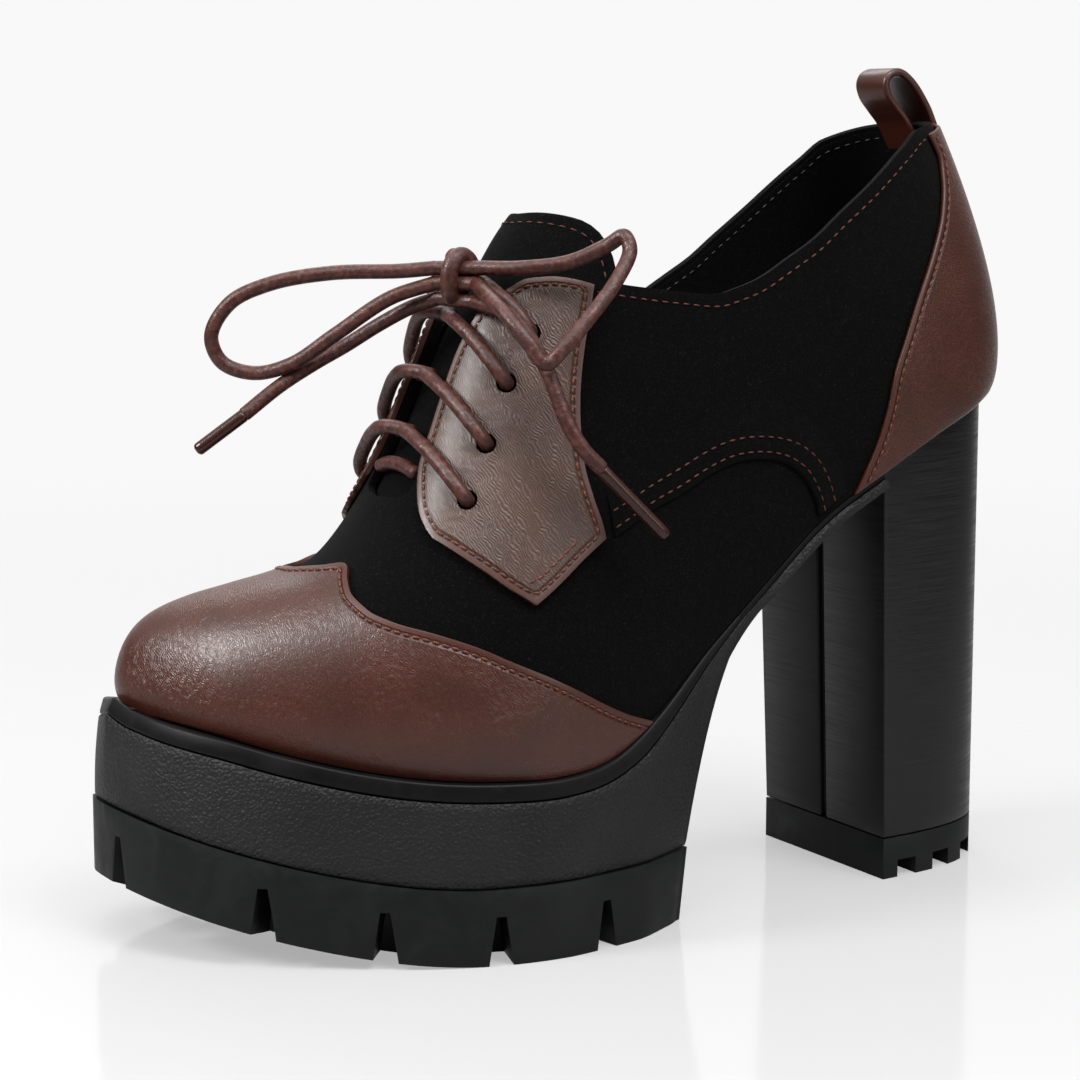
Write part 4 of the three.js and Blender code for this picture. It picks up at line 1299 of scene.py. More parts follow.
@dataclass(frozen=True)
class Upper:
    """The suede shell, its lining, its quarter seam and the stitch rows on it."""

    throat: float = 7.2
    lining_start: float = 8.2
    lining_seam: float = 12.9
    lining_thickness: float = 0.2
    lining_gap: float = 0.24
    collar_row: float = 3.0
    seam_step: float = 0.9
    seam_sink: float = 0.6
    stitch_rows: tuple[float, ...] = (1.9, 5.6)
    rounding: float = 0.7
    rings: int = 40

    collar_rows = (
        # at, up, how far the inner half lies below
        (7.2, 1, 0), (7.3, 0.9, 0), (7.5, 0.85, 0), (8, 0.855, 0), (9.3, 0.86, 0), (9.8, 0.835, 0),
        (10.15, 0.78, 0), (10.5, 0.722, 0), (10.85, 0.64, 0.004), (11.2, 0.56, 0.012),
        (11.6, 0.485, 0.022), (12, 0.425, 0.032), (12.5, 0.368, 0.04), (13, 0.35, 0.042),
        (13.5, 0.354, 0.042), (14, 0.371, 0.042), (14.5, 0.388, 0.04), (15, 0.408, 0.036),
        (15.5, 0.428, 0.03), (16, 0.444, 0.02), (17, 0.439, 0.005), (18, 0.435, 0),
    )
    seam_rows = (
        # edge station and height, station and height where the band sinks in
        (10.08, 0.266, 10.2, 0.318), (10.4, 0.25, 10.6, 0.3), (10.8, 0.23, 11, 0.28),
        (11.23, 0.208, 11.35, 0.26), (11.55, 0.196, 11.7, 0.246), (11.85, 0.183, 12.05, 0.232),
        (12.1, 0.168, 12.4, 0.205), (12.35, 0.145, 12.7, 0.172), (12.57, 0.117, 12.93, 0.134),
        (12.74, 0.083, 13.1, 0.092), (12.84, 0.045, 13.2, 0.05), (12.88, 0.012, 13.24, 0.012),
    )
    outer_collar = staticmethod(smooth_table([row[:2] for row in collar_rows]))
    inner_drop = staticmethod(smooth_table([(row[0], row[2]) for row in collar_rows]))
    seam = staticmethod(smooth_edge(seam_rows))

    @classmethod
    def collar_up(cls, at: float, side: int) -> float:
        """Return the collar's height at a station."""
        return cls.outer_collar(at) - (cls.inner_drop(at) if side < 0 else 0.0)

    def half(self, stations: Sequence[float], side: int, outwards: float, low: float = 0.0,
             short: float = 0.0) -> Grid:
        """Return one half of the shell as a grid, up to the crown before the throat, then to the collar.

        Args:
            stations: The stations.
            side: 1 for the outer half, -1 for the inner.
            outwards: The distance from the last.
            low: Where the grid starts.
            short: How far it ends below the collar, in millimetres.

        Returns:
            The grid.
        """
        grid = []
        for at in stations:
            top = 1.0 if at <= self.throat else self.collar_up(at, side)
            if short:
                top -= LAST.up_for(at, top, side, short)
            grid.append([LAST.surface(at, up, side, outwards) for up in shares(self.rings, low, top)])
        return grid

    def shell(self) -> None:
        """Build the suede shell, open at the throat, the collar and the base."""
        stations = sorted({*shares(140, 0, LAST_STATION), *shares(20, self.throat, self.throat + 0.4)})
        grids = [(self.half(stations, s.value, 0.0), s is Side.INNER) for s in Side]
        piece = rounded(thickened(sheet_piece("upper_suede", grids), LAST.wall), self.rounding)
        finished(piece, SUEDE, Slot.SUEDE, "upper")

    def lining(self, name: str, start: float, end: float, finish: Finish) -> None:
        """Build a part of the lining between two stations.

        Args:
            name: The piece's name.
            start: Its first station.
            end: Its last station.
            finish: Its finish.
        """
        stations = shares(max(6, int((end - start) * 7)), start, end)
        outwards = -(LAST.wall + self.lining_gap)
        grids = [(self.half(stations, s.value, outwards, 0.03, 1.2), s is Side.OUTER) for s in Side]
        piece = thickened(sheet_piece(name, grids), self.lining_thickness)
        finished(rounded(piece, 0.07), finish, Slot.LINING)

    def seam_place(self, t: float, share: float) -> tuple[float, float]:
        """Return a station and height on the quarter seam's band.

        Args:
            t: The share along the seam.
            share: The share from the band's edge to where it sinks in.

        Returns:
            The station and the height.
        """
        edge_at, edge_up, fade_at, fade_up = self.seam(t)
        return edge_at + (fade_at - edge_at) * share, edge_up + (fade_up - edge_up) * share

    def quarter_seam(self, side: int) -> None:
        """Build the quarter's stepped lower edge, which fades into the shell.

        Args:
            side: 1 for the outer half, -1 for the inner.
        """
        step = self.seam_step
        heights = ((0.0, -self.seam_sink), (0.0, step - 0.35), (0.035, step - 0.1), (0.1, step), (0.3, step),
                   (0.6, step * 0.8), (0.85, step * 0.45), (1.1, step * 0.15), (1.35, -0.1),
                   (1.35, -self.seam_sink))
        rings = [[LAST.surface(*self.seam_place(t, share), side, height) for share, height in heights]
                 for t in shares(90)]
        piece = outline_piece(f"quarter_edge_{Side(side).name.lower()}", rings)
        finished(smooth(piece, 60), SUEDE, Slot.SUEDE)

    def seam_line(self, side: int, distance: float) -> list[Vector]:
        """Return a stitch row above the quarter's edge.

        Args:
            side: 1 for the outer half, -1 for the inner.
            distance: The row's distance from the edge.

        Returns:
            The row's points.
        """
        line = []
        for t in shares(60, 0.02, 0.985):
            edge, fade = [LAST.surface(*self.seam_place(t, share), side, 0) for share in (0, 1)]
            share = distance / (fade - edge).length
            lift = self.seam_step * (1 - smoothstep(share, 0.3, 1.35))
            line.append(LAST.surface(*self.seam_place(t, share), side, lift + 0.08))
        return line

    def collar_line(self, side: int, outwards: float, start: float, end: float) -> list[Vector]:
        """Return a stitch row that follows the collar.

        Args:
            side: 1 for the outer half, -1 for the inner.
            outwards: The distance from the last.
            start: The row's first station.
            end: Its last station.

        Returns:
            The row's points.
        """
        line = []
        for at in shares(90, start, end):
            top = self.collar_up(at, side)
            up = top - LAST.up_for(at, top, side, self.collar_row)
            line.append(LAST.surface(at, up, side, outwards))
        return line

    def build(self, stitching: Stitching) -> None:
        """Build every piece of the upper and its rows.

        Args:
            stitching: What sews the rows.
        """
        self.shell()
        self.lining("quarter_lining", self.lining_start, self.lining_seam, LINING)
        self.lining("heel_lining", self.lining_seam - 0.03, LAST_STATION, HEEL_LINING)
        sides = [s.value for s in Side]
        for side in sides:
            self.quarter_seam(side)
        rows = [self.seam_line(side, distance) for side in sides for distance in self.stitch_rows]
        rows += [self.collar_line(side, 0.1, 10.75, 16.0) for side in sides]
        stitching.sew("quarter_stitches", rows, Slot.SUEDE, 2.6, 1.6, 0.42, SEAM_THREAD)
        inside = -(LAST.wall + self.lining_gap + 0.06)
        rows = [self.collar_line(side, inside, 11.0, 17.6) for side in sides]
        stitching.sew("lining_stitches", rows, Slot.LINING, 2.6, 1.5, 0.36, INNER_THREAD)


# Overlays on the upper


@dataclass(frozen=True)
class Overlay:
    """What the overlays share: their stitch rows' places, their rounding and their height."""

    inset: float = 1.75
    second: float = 4.1
    rounding: float = 0.5
    stitch_height: float = 0.02
    outside: float = LAST.gap + LAST.overlay

    @property
    def stitch_level(self) -> float:
        """Return how far a stitch row lies from the last."""
        return self.outside + self.stitch_height


@dataclass(frozen=True)
class ToeCap(Overlay):
    """The wingtip overlay over the toe."""

    edge_rows = (
        # across, at
        (-1, 9.9), (-0.958, 9.7), (-0.883, 9.3), (-0.808, 8.9), (-0.733, 8.52), (-0.65, 8.08),
        (-0.567, 7.6), (-0.483, 7.07), (-0.408, 6.55), (-0.317, 5.83), (-0.233, 5.3), (-0.142, 5.04),
        (-0.06, 5.03), (0.06, 5.35), (0.142, 5.77), (0.233, 5.53), (0.317, 5.4), (0.408, 5.53),
        (0.483, 5.9), (0.567, 6.5), (0.65, 7.07), (0.733, 7.6), (0.808, 8.17), (0.883, 8.8),
        (0.958, 9.43), (1, 9.8),
    )
    edge = staticmethod(smooth_table(edge_rows))

    def build(self, stitching: Stitching) -> None:
        """Build the cap and the row along its wing.

        Args:
            stitching: What sews the rows.
        """
        columns = shares(128, 1, -1)
        grid = [[LAST.over(t ** 0.9 * self.edge(a), a, self.outside) for a in columns] for t in shares(84)]
        sheet = sheet_piece("toe_cap_leather", [(grid, False)])
        piece = rounded(thickened(sheet, LAST.overlay), self.rounding)
        border = dense([LAST.over(self.edge(a), a, self.outside) for a in shares(300, 1, -1)])
        mark_edge(piece, border)
        finished(piece, CALF, Slot.SMOOTH, "toe_cap")
        paths = [(lambda share, a=a: LAST.over(self.edge(a) * (1 - 0.3 * share), a, self.stitch_level))
                 for a in shares(150, 0.985, -0.985)]
        row = inset_line(border, paths, self.inset)
        stitching.sew("toe_cap_stitches", [row], Slot.SMOOTH, 2.2, 1.9, 0.7)


@dataclass(frozen=True)
class Eyestay(Overlay):
    """A facing with its four lace holes, on one side of the throat."""

    side: Side = Side.OUTER
    hole_diameter: float = 4.6

    front = ((7.3, 0.658), (7.31, 0.7), (7.4, 0.755), (7.63, 0.808), (7.9, 0.842), (8.3, 0.852),
             (8.8, 0.857), (9.27, 0.856), (9.77, 0.83))
    back = ((9.9, 0.283), (9.93, 0.308), (9.94, 0.342), (10, 0.392), (10.17, 0.435), (10.37, 0.467),
            (10.63, 0.495), (10.95, 0.525), (11.17, 0.552))
    foot = ((7.3, 0.658), (7.42, 0.6), (7.58, 0.533), (7.78, 0.465), (8, 0.4), (8.33, 0.327),
            (8.85, 0.314), (9.35, 0.302), (9.9, 0.283))
    top = ((9.77, 0.83), (9.97, 0.8), (10.17, 0.768), (10.32, 0.742), (10.47, 0.717), (10.64, 0.678),
           (10.8, 0.642), (11, 0.594), (11.17, 0.552))
    holes = ((8.07, 0.625), (8.77, 0.64), (9.5, 0.65), (10.15, 0.64))
    foot_corner = 5
    edges = (smooth_edge(front), smooth_edge(back), smooth_edge(foot, (foot_corner,)), smooth_edge(top))

    def point(self, a: float, b: float, outwards: float) -> Vector:
        """Return a point over the facing, spread between its four edges.

        Args:
            a: The share from front to back.
            b: The share from foot to top.
            outwards: The distance from the last.

        Returns:
            The point in millimetres.
        """
        front, back, foot, top = self.edges
        rows = (front(b), back(b), foot(a), top(a))
        corners = (self.front[0], self.back[0], self.front[-1], self.back[-1])
        found = []
        for k in range(2):
            found.append((1 - a) * rows[0][k] + a * rows[1][k] + (1 - b) * rows[2][k] + b * rows[3][k]
                         - (1 - a) * (1 - b) * corners[0][k] - a * (1 - b) * corners[1][k]
                         - (1 - a) * b * corners[2][k] - a * b * corners[3][k])
        return LAST.surface(*found, self.side.value, outwards)

    def rim_places(self, count: int) -> list[tuple[float, float]]:
        """Return shares round the facing's edge, closed."""
        return ([(t, 0.0) for t in shares(count)][:-1] + [(1.0, t) for t in shares(count)][:-1]
                + [(t, 1.0) for t in shares(count, 1, 0)][:-1] + [(0.0, t) for t in shares(count, 1, 0)])

    def hole_cutter(self, at: float, up: float) -> Piece:
        """Return a cylinder through a lace hole.

        Args:
            at: The hole's station.
            up: Its height.

        Returns:
            The cutter.
        """
        sides = 24
        inside, outside = [LAST.surface(at, up, self.side.value, reach) for reach in (-3, 6)]
        axis = (outside - inside).normalized()
        first = axis.orthogonal().normalized()
        second = axis.cross(first)
        turns = [2 * math.pi * k / sides for k in range(sides)]
        half = self.hole_diameter / 2
        ring = [(first * math.cos(turn) + second * math.sin(turn)) * half for turn in turns]
        return outline_piece("hole", [[centre + spoke for spoke in ring] for centre in (inside, outside)])

    def inwards(self, a: float, b: float) -> Callable[[float], Vector]:
        """Return the way from a place on the edge to the facing's middle."""
        return lambda t: self.point(a + (0.5 - a) * t, b + (0.5 - b) * t, self.stitch_level)

    def build(self, stitching: Stitching) -> None:
        """Build the facing, its holes and its rows.

        Args:
            stitching: What sews the rows.
        """
        name = f"eyestay_{self.side.name.lower()}"
        steps = shares(56)
        grid = [[self.point(a, b, self.outside) for b in steps] for a in steps]
        piece = thickened(sheet_piece(f"{name}_leather", [(grid, self.side is Side.INNER)]), LAST.overlay)
        cut(piece, [self.hole_cutter(*hole) for hole in self.holes])
        rounded(piece, 0.4, 55)
        border = dense([self.point(a, b, self.outside) for a, b in self.rim_places(60)])
        mark_edge(piece, border)
        finished(piece, FACING, Slot.GRAINED, name)
        row = inset_line(border, [self.inwards(a, b) for a, b in self.rim_places(30)], self.inset)
        corner = self.foot_corner / (len(self.foot) - 1)
        paths = [self.inwards(a, 0.0) for a in shares(16, corner + 0.04, 0.97)]
        second = inset_line(border, paths, self.second)
        stitching.sew(f"{name}_stitches", [row, second], Slot.GRAINED, 2.1, 1.8, 0.7)


@dataclass(frozen=True)
class Counter(Overlay):
    """The heel counter, which wraps round the back."""

    top: float = 0.43
    below: float = 0.006

    edge_rows = (
        # up, at
        (0, 13.42), (0.03, 13.58), (0.058, 13.74), (0.108, 13.97), (0.158, 14.17), (0.192, 14.4),
        (0.233, 14.73), (0.275, 15.2), (0.317, 15.67), (0.358, 15.97), (0.395, 16.16), (0.43, 16.12),
    )
    edge = staticmethod(smooth_table(edge_rows))

    def point(self, up: float, t: float, side: int, outwards: float) -> Vector:
        """Return a point of the counter, whose top stays below the collar.

        Args:
            up: The height.
            t: The share from the front edge to the back seam.
            side: 1 for the outer half, -1 for the inner.
            outwards: The distance from the last.

        Returns:
            The point in millimetres.
        """
        at = self.edge(up) + (LAST_STATION - self.edge(up)) * t
        lowered = min(1.0, (Upper.collar_up(at, side) - self.below) / self.top)
        return LAST.surface(at, up * lowered, side, outwards)

    def build(self, stitching: Stitching) -> None:
        """Build the counter and the row along each front edge.

        Args:
            stitching: What sews the rows.
        """
        grids, border, rows = [], [], []
        for s in Side:
            grid = [[self.point(up, t, s.value, self.outside) for up in shares(44, 0, self.top)]
                    for t in shares(40)]
            grids.append((grid, s is Side.INNER))
            edge = dense([self.point(up, 0, s.value, self.outside) for up in shares(120, 0, self.top)])
            border += edge
            paths = [(lambda t, up=up, side=s.value: self.point(up, t * 0.6, side, self.stitch_level))
                     for up in shares(60, 0.012, 0.415)]
            rows.append(inset_line(edge, paths, self.inset))
        piece = rounded(thickened(sheet_piece("counter_leather", grids), LAST.overlay), self.rounding)
        mark_edge(piece, border)
        finished(piece, CALF, Slot.SMOOTH, "counter")
        stitching.sew("counter_stitches", rows, Slot.SMOOTH, 2.2, 1.8, 0.65)


@dataclass(frozen=True)
class PullLoop:
    """The folded band at the back of the collar."""

    width: float = 12.0
    thickness: float = 1.9
    height: float = 12.3
    reach: float = 16.0
    leg_up: float = 0.4
    curve: float = 24.0
    corner: float = 0.8
    steps: int = 90

    line_rows = (
        # how far ahead, how far up, as shares of reach and height
        (0.06, 0.13), (0.18, 0.33), (0.42, 0.68), (0.6, 0.84), (0.71, 0.86), (0.85, 0.78), (0.9, 0.62),
        (0.84, 0.4), (0.64, 0.13), (0.48, -0.08),
    )
    corners = ((1, 1, 0), (-1, 1, 90), (-1, -1, 180), (1, -1, 270))

    def build(self, collar: float) -> None:
        """Build the band.

        Args:
            collar: The collar's height at the back seam.
        """
        out = LAST.gap * 2 + LAST.overlay + self.thickness / 2
        inn = -(LAST.wall + 0.9 + self.thickness / 2)
        low, high, inner = [LAST.surface(LAST_STATION, up, 1, distance)
                            for up, distance in ((self.leg_up, out), (collar, out), (self.leg_up, inn))]
        arch = [high + Vector((0, -ahead * self.reach, up * self.height)) for ahead, up in self.line_rows]
        line = smooth_line([Vector((0, p.y, p.z)) for p in (low, high, *arch, inner)], self.steps)
        half, thick = self.width / 2 - self.corner, self.thickness / 2 - self.corner
        rings = []
        for i, point in enumerate(line):
            along = (line[min(i + 1, self.steps)] - line[max(i - 1, 0)]).normalized()
            across = Vector((0, -along.z, along.y))
            bend = (1 - smoothstep(point.z, high.z - 1, high.z + 7)) / (2 * self.curve)
            ring = []
            for sx, sy, start in self.corners:
                for k in range(4):
                    turn = math.radians(start + 30 * k)
                    x = sx * half + self.corner * math.cos(turn)
                    h = sy * thick + self.corner * math.sin(turn)
                    ring.append(point + Vector((x, -x * x * bend, 0)) + across * h)
            rings.append(ring)
        finished(smooth(outline_piece("pull_loop_leather", rings)), LOOP, Slot.SMOOTH, "pull_loop")


@dataclass(frozen=True)
class Tongue:
    """The suede tongue under the facings, with a rounded top."""

    foot: float = 6.9
    top: float = 11.0
    top_round: float = 0.85
    corner: float = 0.8
    foot_reach: float = 0.26
    top_reach: float = 0.54
    sweep: float = 0.35
    drop: float = 2.2
    clear: float = 0.7
    thickness: float = 2.2
    row_inset: float = 3.2
    row_start: float = 0.6

    def point(self, t: float, across: float, lift: float = 0.0) -> Vector:
        """Return a point of the tongue's face.

        Args:
            t: The share from foot to top.
            across: From 1 at the outer edge to -1 at the inner.
            lift: How far above the face.

        Returns:
            The point in millimetres.
        """
        corner = max(0.0, (abs(across) - 0.55) / 0.45)
        top = self.top + self.top_round * across * across - self.corner * corner ** 2.6
        top += self.sweep * max(0.0, across) ** 1.4
        at = self.foot + (top - self.foot) * t
        reach = self.foot_reach + (self.top_reach - self.foot_reach) * t
        depth = LAST.wall + self.clear
        return LAST.over(at, across * reach, -depth - self.drop * t ** 3 + lift)

    def build(self, stitching: Stitching) -> None:
        """Build the tongue and the row round its top.

        Args:
            stitching: What sews the rows.
        """
        grid = [[self.point(t, a) for a in shares(36, 1, -1)] for t in shares(70)]
        piece = rounded(thickened(sheet_piece("tongue_suede", [(grid, False)]), self.thickness), 0.8)
        finished(piece, SUEDE, Slot.SUEDE, "tongue")
        low = self.row_start
        border = dense([self.point(t, 1) for t in shares(30, low, 1)]
                       + [self.point(1, a) for a in shares(60, 1, -1)]
                       + [self.point(t, -1) for t in shares(30, 1, low)])
        ends = [(t, 1.0) for t in shares(16, 0.62, 1)] + [(1.0, a) for a in shares(40, 1, -1)][1:-1]
        ends += [(t, -1.0) for t in shares(16, 1, 0.62)]
        paths = [(lambda s, t=t, a=a: self.point(t + (low - t) * s, a * (1 - s), 0.1)) for t, a in ends]
        row = inset_line(border, paths, self.row_inset)
        stitching.sew("tongue_stitches", [row], Slot.SUEDE, 2.6, 1.6, 0.4, SEAM_THREAD)


# The sole


@dataclass(frozen=True)
class Sole:
    """Insole, rim, wrapped platform and notched tread unit."""

    outsole: float = 17
    toe_spring: float = 10.5
    spring_start: float = -0.079
    spring_power: float = 1.8
    rim_height: float = 4
    rim_waist: float = 1.2
    waist: float = 2.6
    flare: float = 0.5
    insole_height: float = 2.4
    seat_inset: float = -0.7
    rear_start: float = 11
    blend_start: float = 9.8
    rear_draft: float = 2
    breast: float = 97
    swell: float = 0.35
    notch_height: float = 11
    notch_depth: float = 10
    notch_top: float = 2.2
    notch_base: float = 5.6

    reach_rows = (
        # at, how far the rim and the platform's foot stand out
        (0, 7.6, 11), (3, 6.6, 8.6), (5, 5, 4.8), (7, 3.6, 2.6), (8.5, 3, 1.8), (9.5, 2.2, 1.2),
        (10.3, 1, -1.4), (10.7, 0.6, -3), (11, 0.3, -4.5), (11.6, 0.2, -3), (12.25, 0, 0), (18, 0, 0),
    )
    rear_rows = (
        # at, share of the drop to the tread, how far it is drawn forwards
        (11, 1, 0.0255), (11.15, 0.807, 0.0285), (11.3, 0.603, 0.031), (11.45, 0.415, 0.032),
        (11.6, 0.264, 0.031), (11.8, 0.143, 0.026), (12, 0.058, 0.017), (12.25, 0, 0),
    )
    notches = (
        # at, side
        (0.9, 1), (3.75, 1), (5.35, 1), (6.95, 1), (8.8, 1), (2.4, -1), (4.3, -1), (5.75, -1), (7.2, -1),
        (8.8, -1),
    )
    rim_reach = staticmethod(smooth_table([(row[0], row[1]) for row in reach_rows]))
    foot_reach = staticmethod(smooth_table([(row[0], row[2]) for row in reach_rows]))
    rear_drop = staticmethod(smooth_table([(row[0], row[1]) for row in rear_rows]))
    rear_pull = staticmethod(smooth_table([(row[0], row[2]) for row in rear_rows]))

    @property
    def lines(self) -> list[float]:
        """Return the stations of the rings, closer together at the rear of the platform."""
        end = LAST.station_at(self.breast - LAST.gap - self.waist)
        return sorted({*shares(100, 0, end), *shares(34, 10.7, 12.4)})

    def rim_thickness(self, at: float) -> float:
        """Return the rim's thickness, thinner along the waist."""
        share = min(max((at - 9.5) / 2.1, 0.0), 1.0)
        return self.rim_height + (self.rim_waist - self.rim_height) * share

    def tread_height(self, y: float) -> float:
        """Return how far the tread has lifted from the floor.

        Args:
            y: The place along the shoe.

        Returns:
            The height in millimetres.
        """
        start = self.spring_start * LAST.length
        tip = STATIONS[0][0] * LAST.length
        share = max(0.0, (start - y) / (start - tip))
        return self.toe_spring * share ** self.spring_power

    def foot(self, at: float, side: int, flare: float = 0.0) -> Vector:
        """Return the platform's foot on one side.

        Args:
            at: The station.
            side: 1 for the outer half, -1 for the inner.
            flare: How much further it stands out.

        Returns:
            The point in millimetres.
        """
        if at < self.rear_start:
            point = LAST.surface(at, 0, side, self.foot_reach(at) + flare)
            point.z = self.tread_height(point.y) + self.outsole + LAST.gap
            if at > self.blend_start:
                corner = self.foot(self.rear_start, side, flare)
                share = (at - self.blend_start) / (self.rear_start - self.blend_start)
                point.y += (corner.y - (self.rear_start - at) * 13 - point.y) * share
            return point
        below = 2 * LAST.gap + self.rim_thickness(at) + self.waist
        under = LAST.base_edge(at, side, self.foot_reach(at) + flare, below)
        under.z -= self.rear_drop(at) * (under.z - self.outsole - LAST.gap)
        under.y -= self.rear_pull(at) * LAST.length
        return under

    def insole(self) -> None:
        """Build the sock inside the shell; its foot runs into the wall, so that hardly any light comes in."""
        inset = -(LAST.wall + LAST.gap + 0.1)
        profile = ((inset, self.insole_height), (inset, 1.0), (self.seat_inset, 0.9), (self.seat_inset, 0.05))
        rings = []
        for at in shares(110, 0, LAST_STATION):
            outer, inner = [[LAST.base_edge(at, side, out, -height) for out, height in profile]
                            for side in (1, -1)]
            rings.append(outer + inner[::-1])
        finished(rounded(loft_piece("insole_sock", rings), 0.3), LINING, Slot.LINING, "insole")

    def rim(self) -> None:
        """Build the smooth strip round the upper, with a soft outer face."""
        bulge = ((0.0, -0.45), (0.05, -0.14), (0.14, 0.0), (0.8, 0.0), (0.93, -0.12), (1.0, -0.5))
        rings = []
        for at in self.lines:
            outer, inner = [[LAST.base_edge(at, side, self.rim_reach(at) + out,
                                            LAST.gap + self.rim_thickness(at) * v) for v, out in bulge]
                            for side in (1, -1)]
            rings.append(outer + inner[::-1])
        finished(smooth(loft_piece("rim_strip", rings)), RIM, Slot.RIM, "rim")

    def platform_side(self, at: float, side: int) -> list[Vector]:
        """Return one side of the platform from top to foot, a little swollen, with soft edges.

        Args:
            at: The station.
            side: 1 for the outer half, -1 for the inner.

        Returns:
            The points in millimetres.
        """
        top = LAST.base_edge(at, side, self.rim_reach(at), 2 * LAST.gap + self.rim_thickness(at))
        foot = self.foot(at, side)
        out = Vector((side, 0, 0)) if at > 3 else Vector((side * at / 3, at / 3 - 1, 0)).normalized()
        line = [top.lerp(foot, v) + out * self.swell * math.sin(math.pi * v) for v in shares(9)]
        line[0] -= out * 0.3
        line[-1] -= out * 0.3
        line.insert(1, top.lerp(foot, 0.025))
        line.insert(-1, top.lerp(foot, 0.975))
        return line

    def platform(self) -> None:
        """Build the wrapped platform."""
        rings = [self.platform_side(at, 1) + self.platform_side(at, -1)[::-1] for at in self.lines]
        finished(smooth(loft_piece("platform_wrap", rings)), WRAP, Slot.PLATFORM, "platform")

    def tread_point(self, at: float, side: int, above: float) -> Vector:
        """Return a point on the tread unit's side.

        Args:
            at: The station.
            side: 1 for the outer half, -1 for the inner.
            above: The height over the tread.

        Returns:
            The point in millimetres.
        """
        foot = self.foot(at, side, self.flare)
        z = self.tread_height(self.foot(at, side).y) + above
        draft = self.rear_draft * (1 - above / self.outsole) * smoothstep(at, 9, self.rear_start)
        return Vector((foot.x, foot.y - draft, z))

    def notch_cutter(self, at: float, side: int) -> Piece:
        """Return a wedge that cuts a notch into the tread's edge.

        Args:
            at: The notch's station.
            side: 1 for the outer edge, -1 for the inner.

        Returns:
            The cutter.
        """
        edge = LAST.surface(at, 0, side, self.foot_reach(at))
        inner = LAST.surface(at, 0, side, self.foot_reach(at) - 1)
        inwards = Vector((inner.x - edge.x, inner.y - edge.y, 0)).normalized()
        sideways = Vector((0, 0, 1)).cross(inwards)
        clear, base, top = 4, self.notch_base / 2, self.notch_top / 2
        shape = ((-base, -clear), (base, -clear), (base, 0), (top, self.notch_height),
                 (-top, self.notch_height), (-base, 0))
        foot = Vector((edge.x, edge.y, self.tread_height(edge.y)))
        rings = [[foot + sideways * x + Vector((0, 0, z)) + inwards * depth for x, z in shape]
                 for depth in (-clear, self.notch_depth)]
        return outline_piece("notch", rings)

    def tread(self) -> None:
        """Build the notched tread unit."""
        heights = [self.outsole * share for share in (1, 0.75, 0.5, 0.25, 0)]
        lines = [at for at in self.lines if at < self.rear_start] + [self.rear_start]
        rings = [[self.tread_point(at, 1, above) for above in heights]
                 + [self.tread_point(at, -1, above) for above in heights[::-1]] for at in lines]
        piece = loft_piece("tread_unit", rings)
        cut(piece, [self.notch_cutter(at, side) for at, side in self.notches])
        finished(rounded(piece, 0.45, 42, 2), RUBBER, Slot.RUBBER, "outsole")

    def build(self) -> None:
        """Build every layer."""
        self.insole()
        self.rim()
        self.platform()
        self.tread()


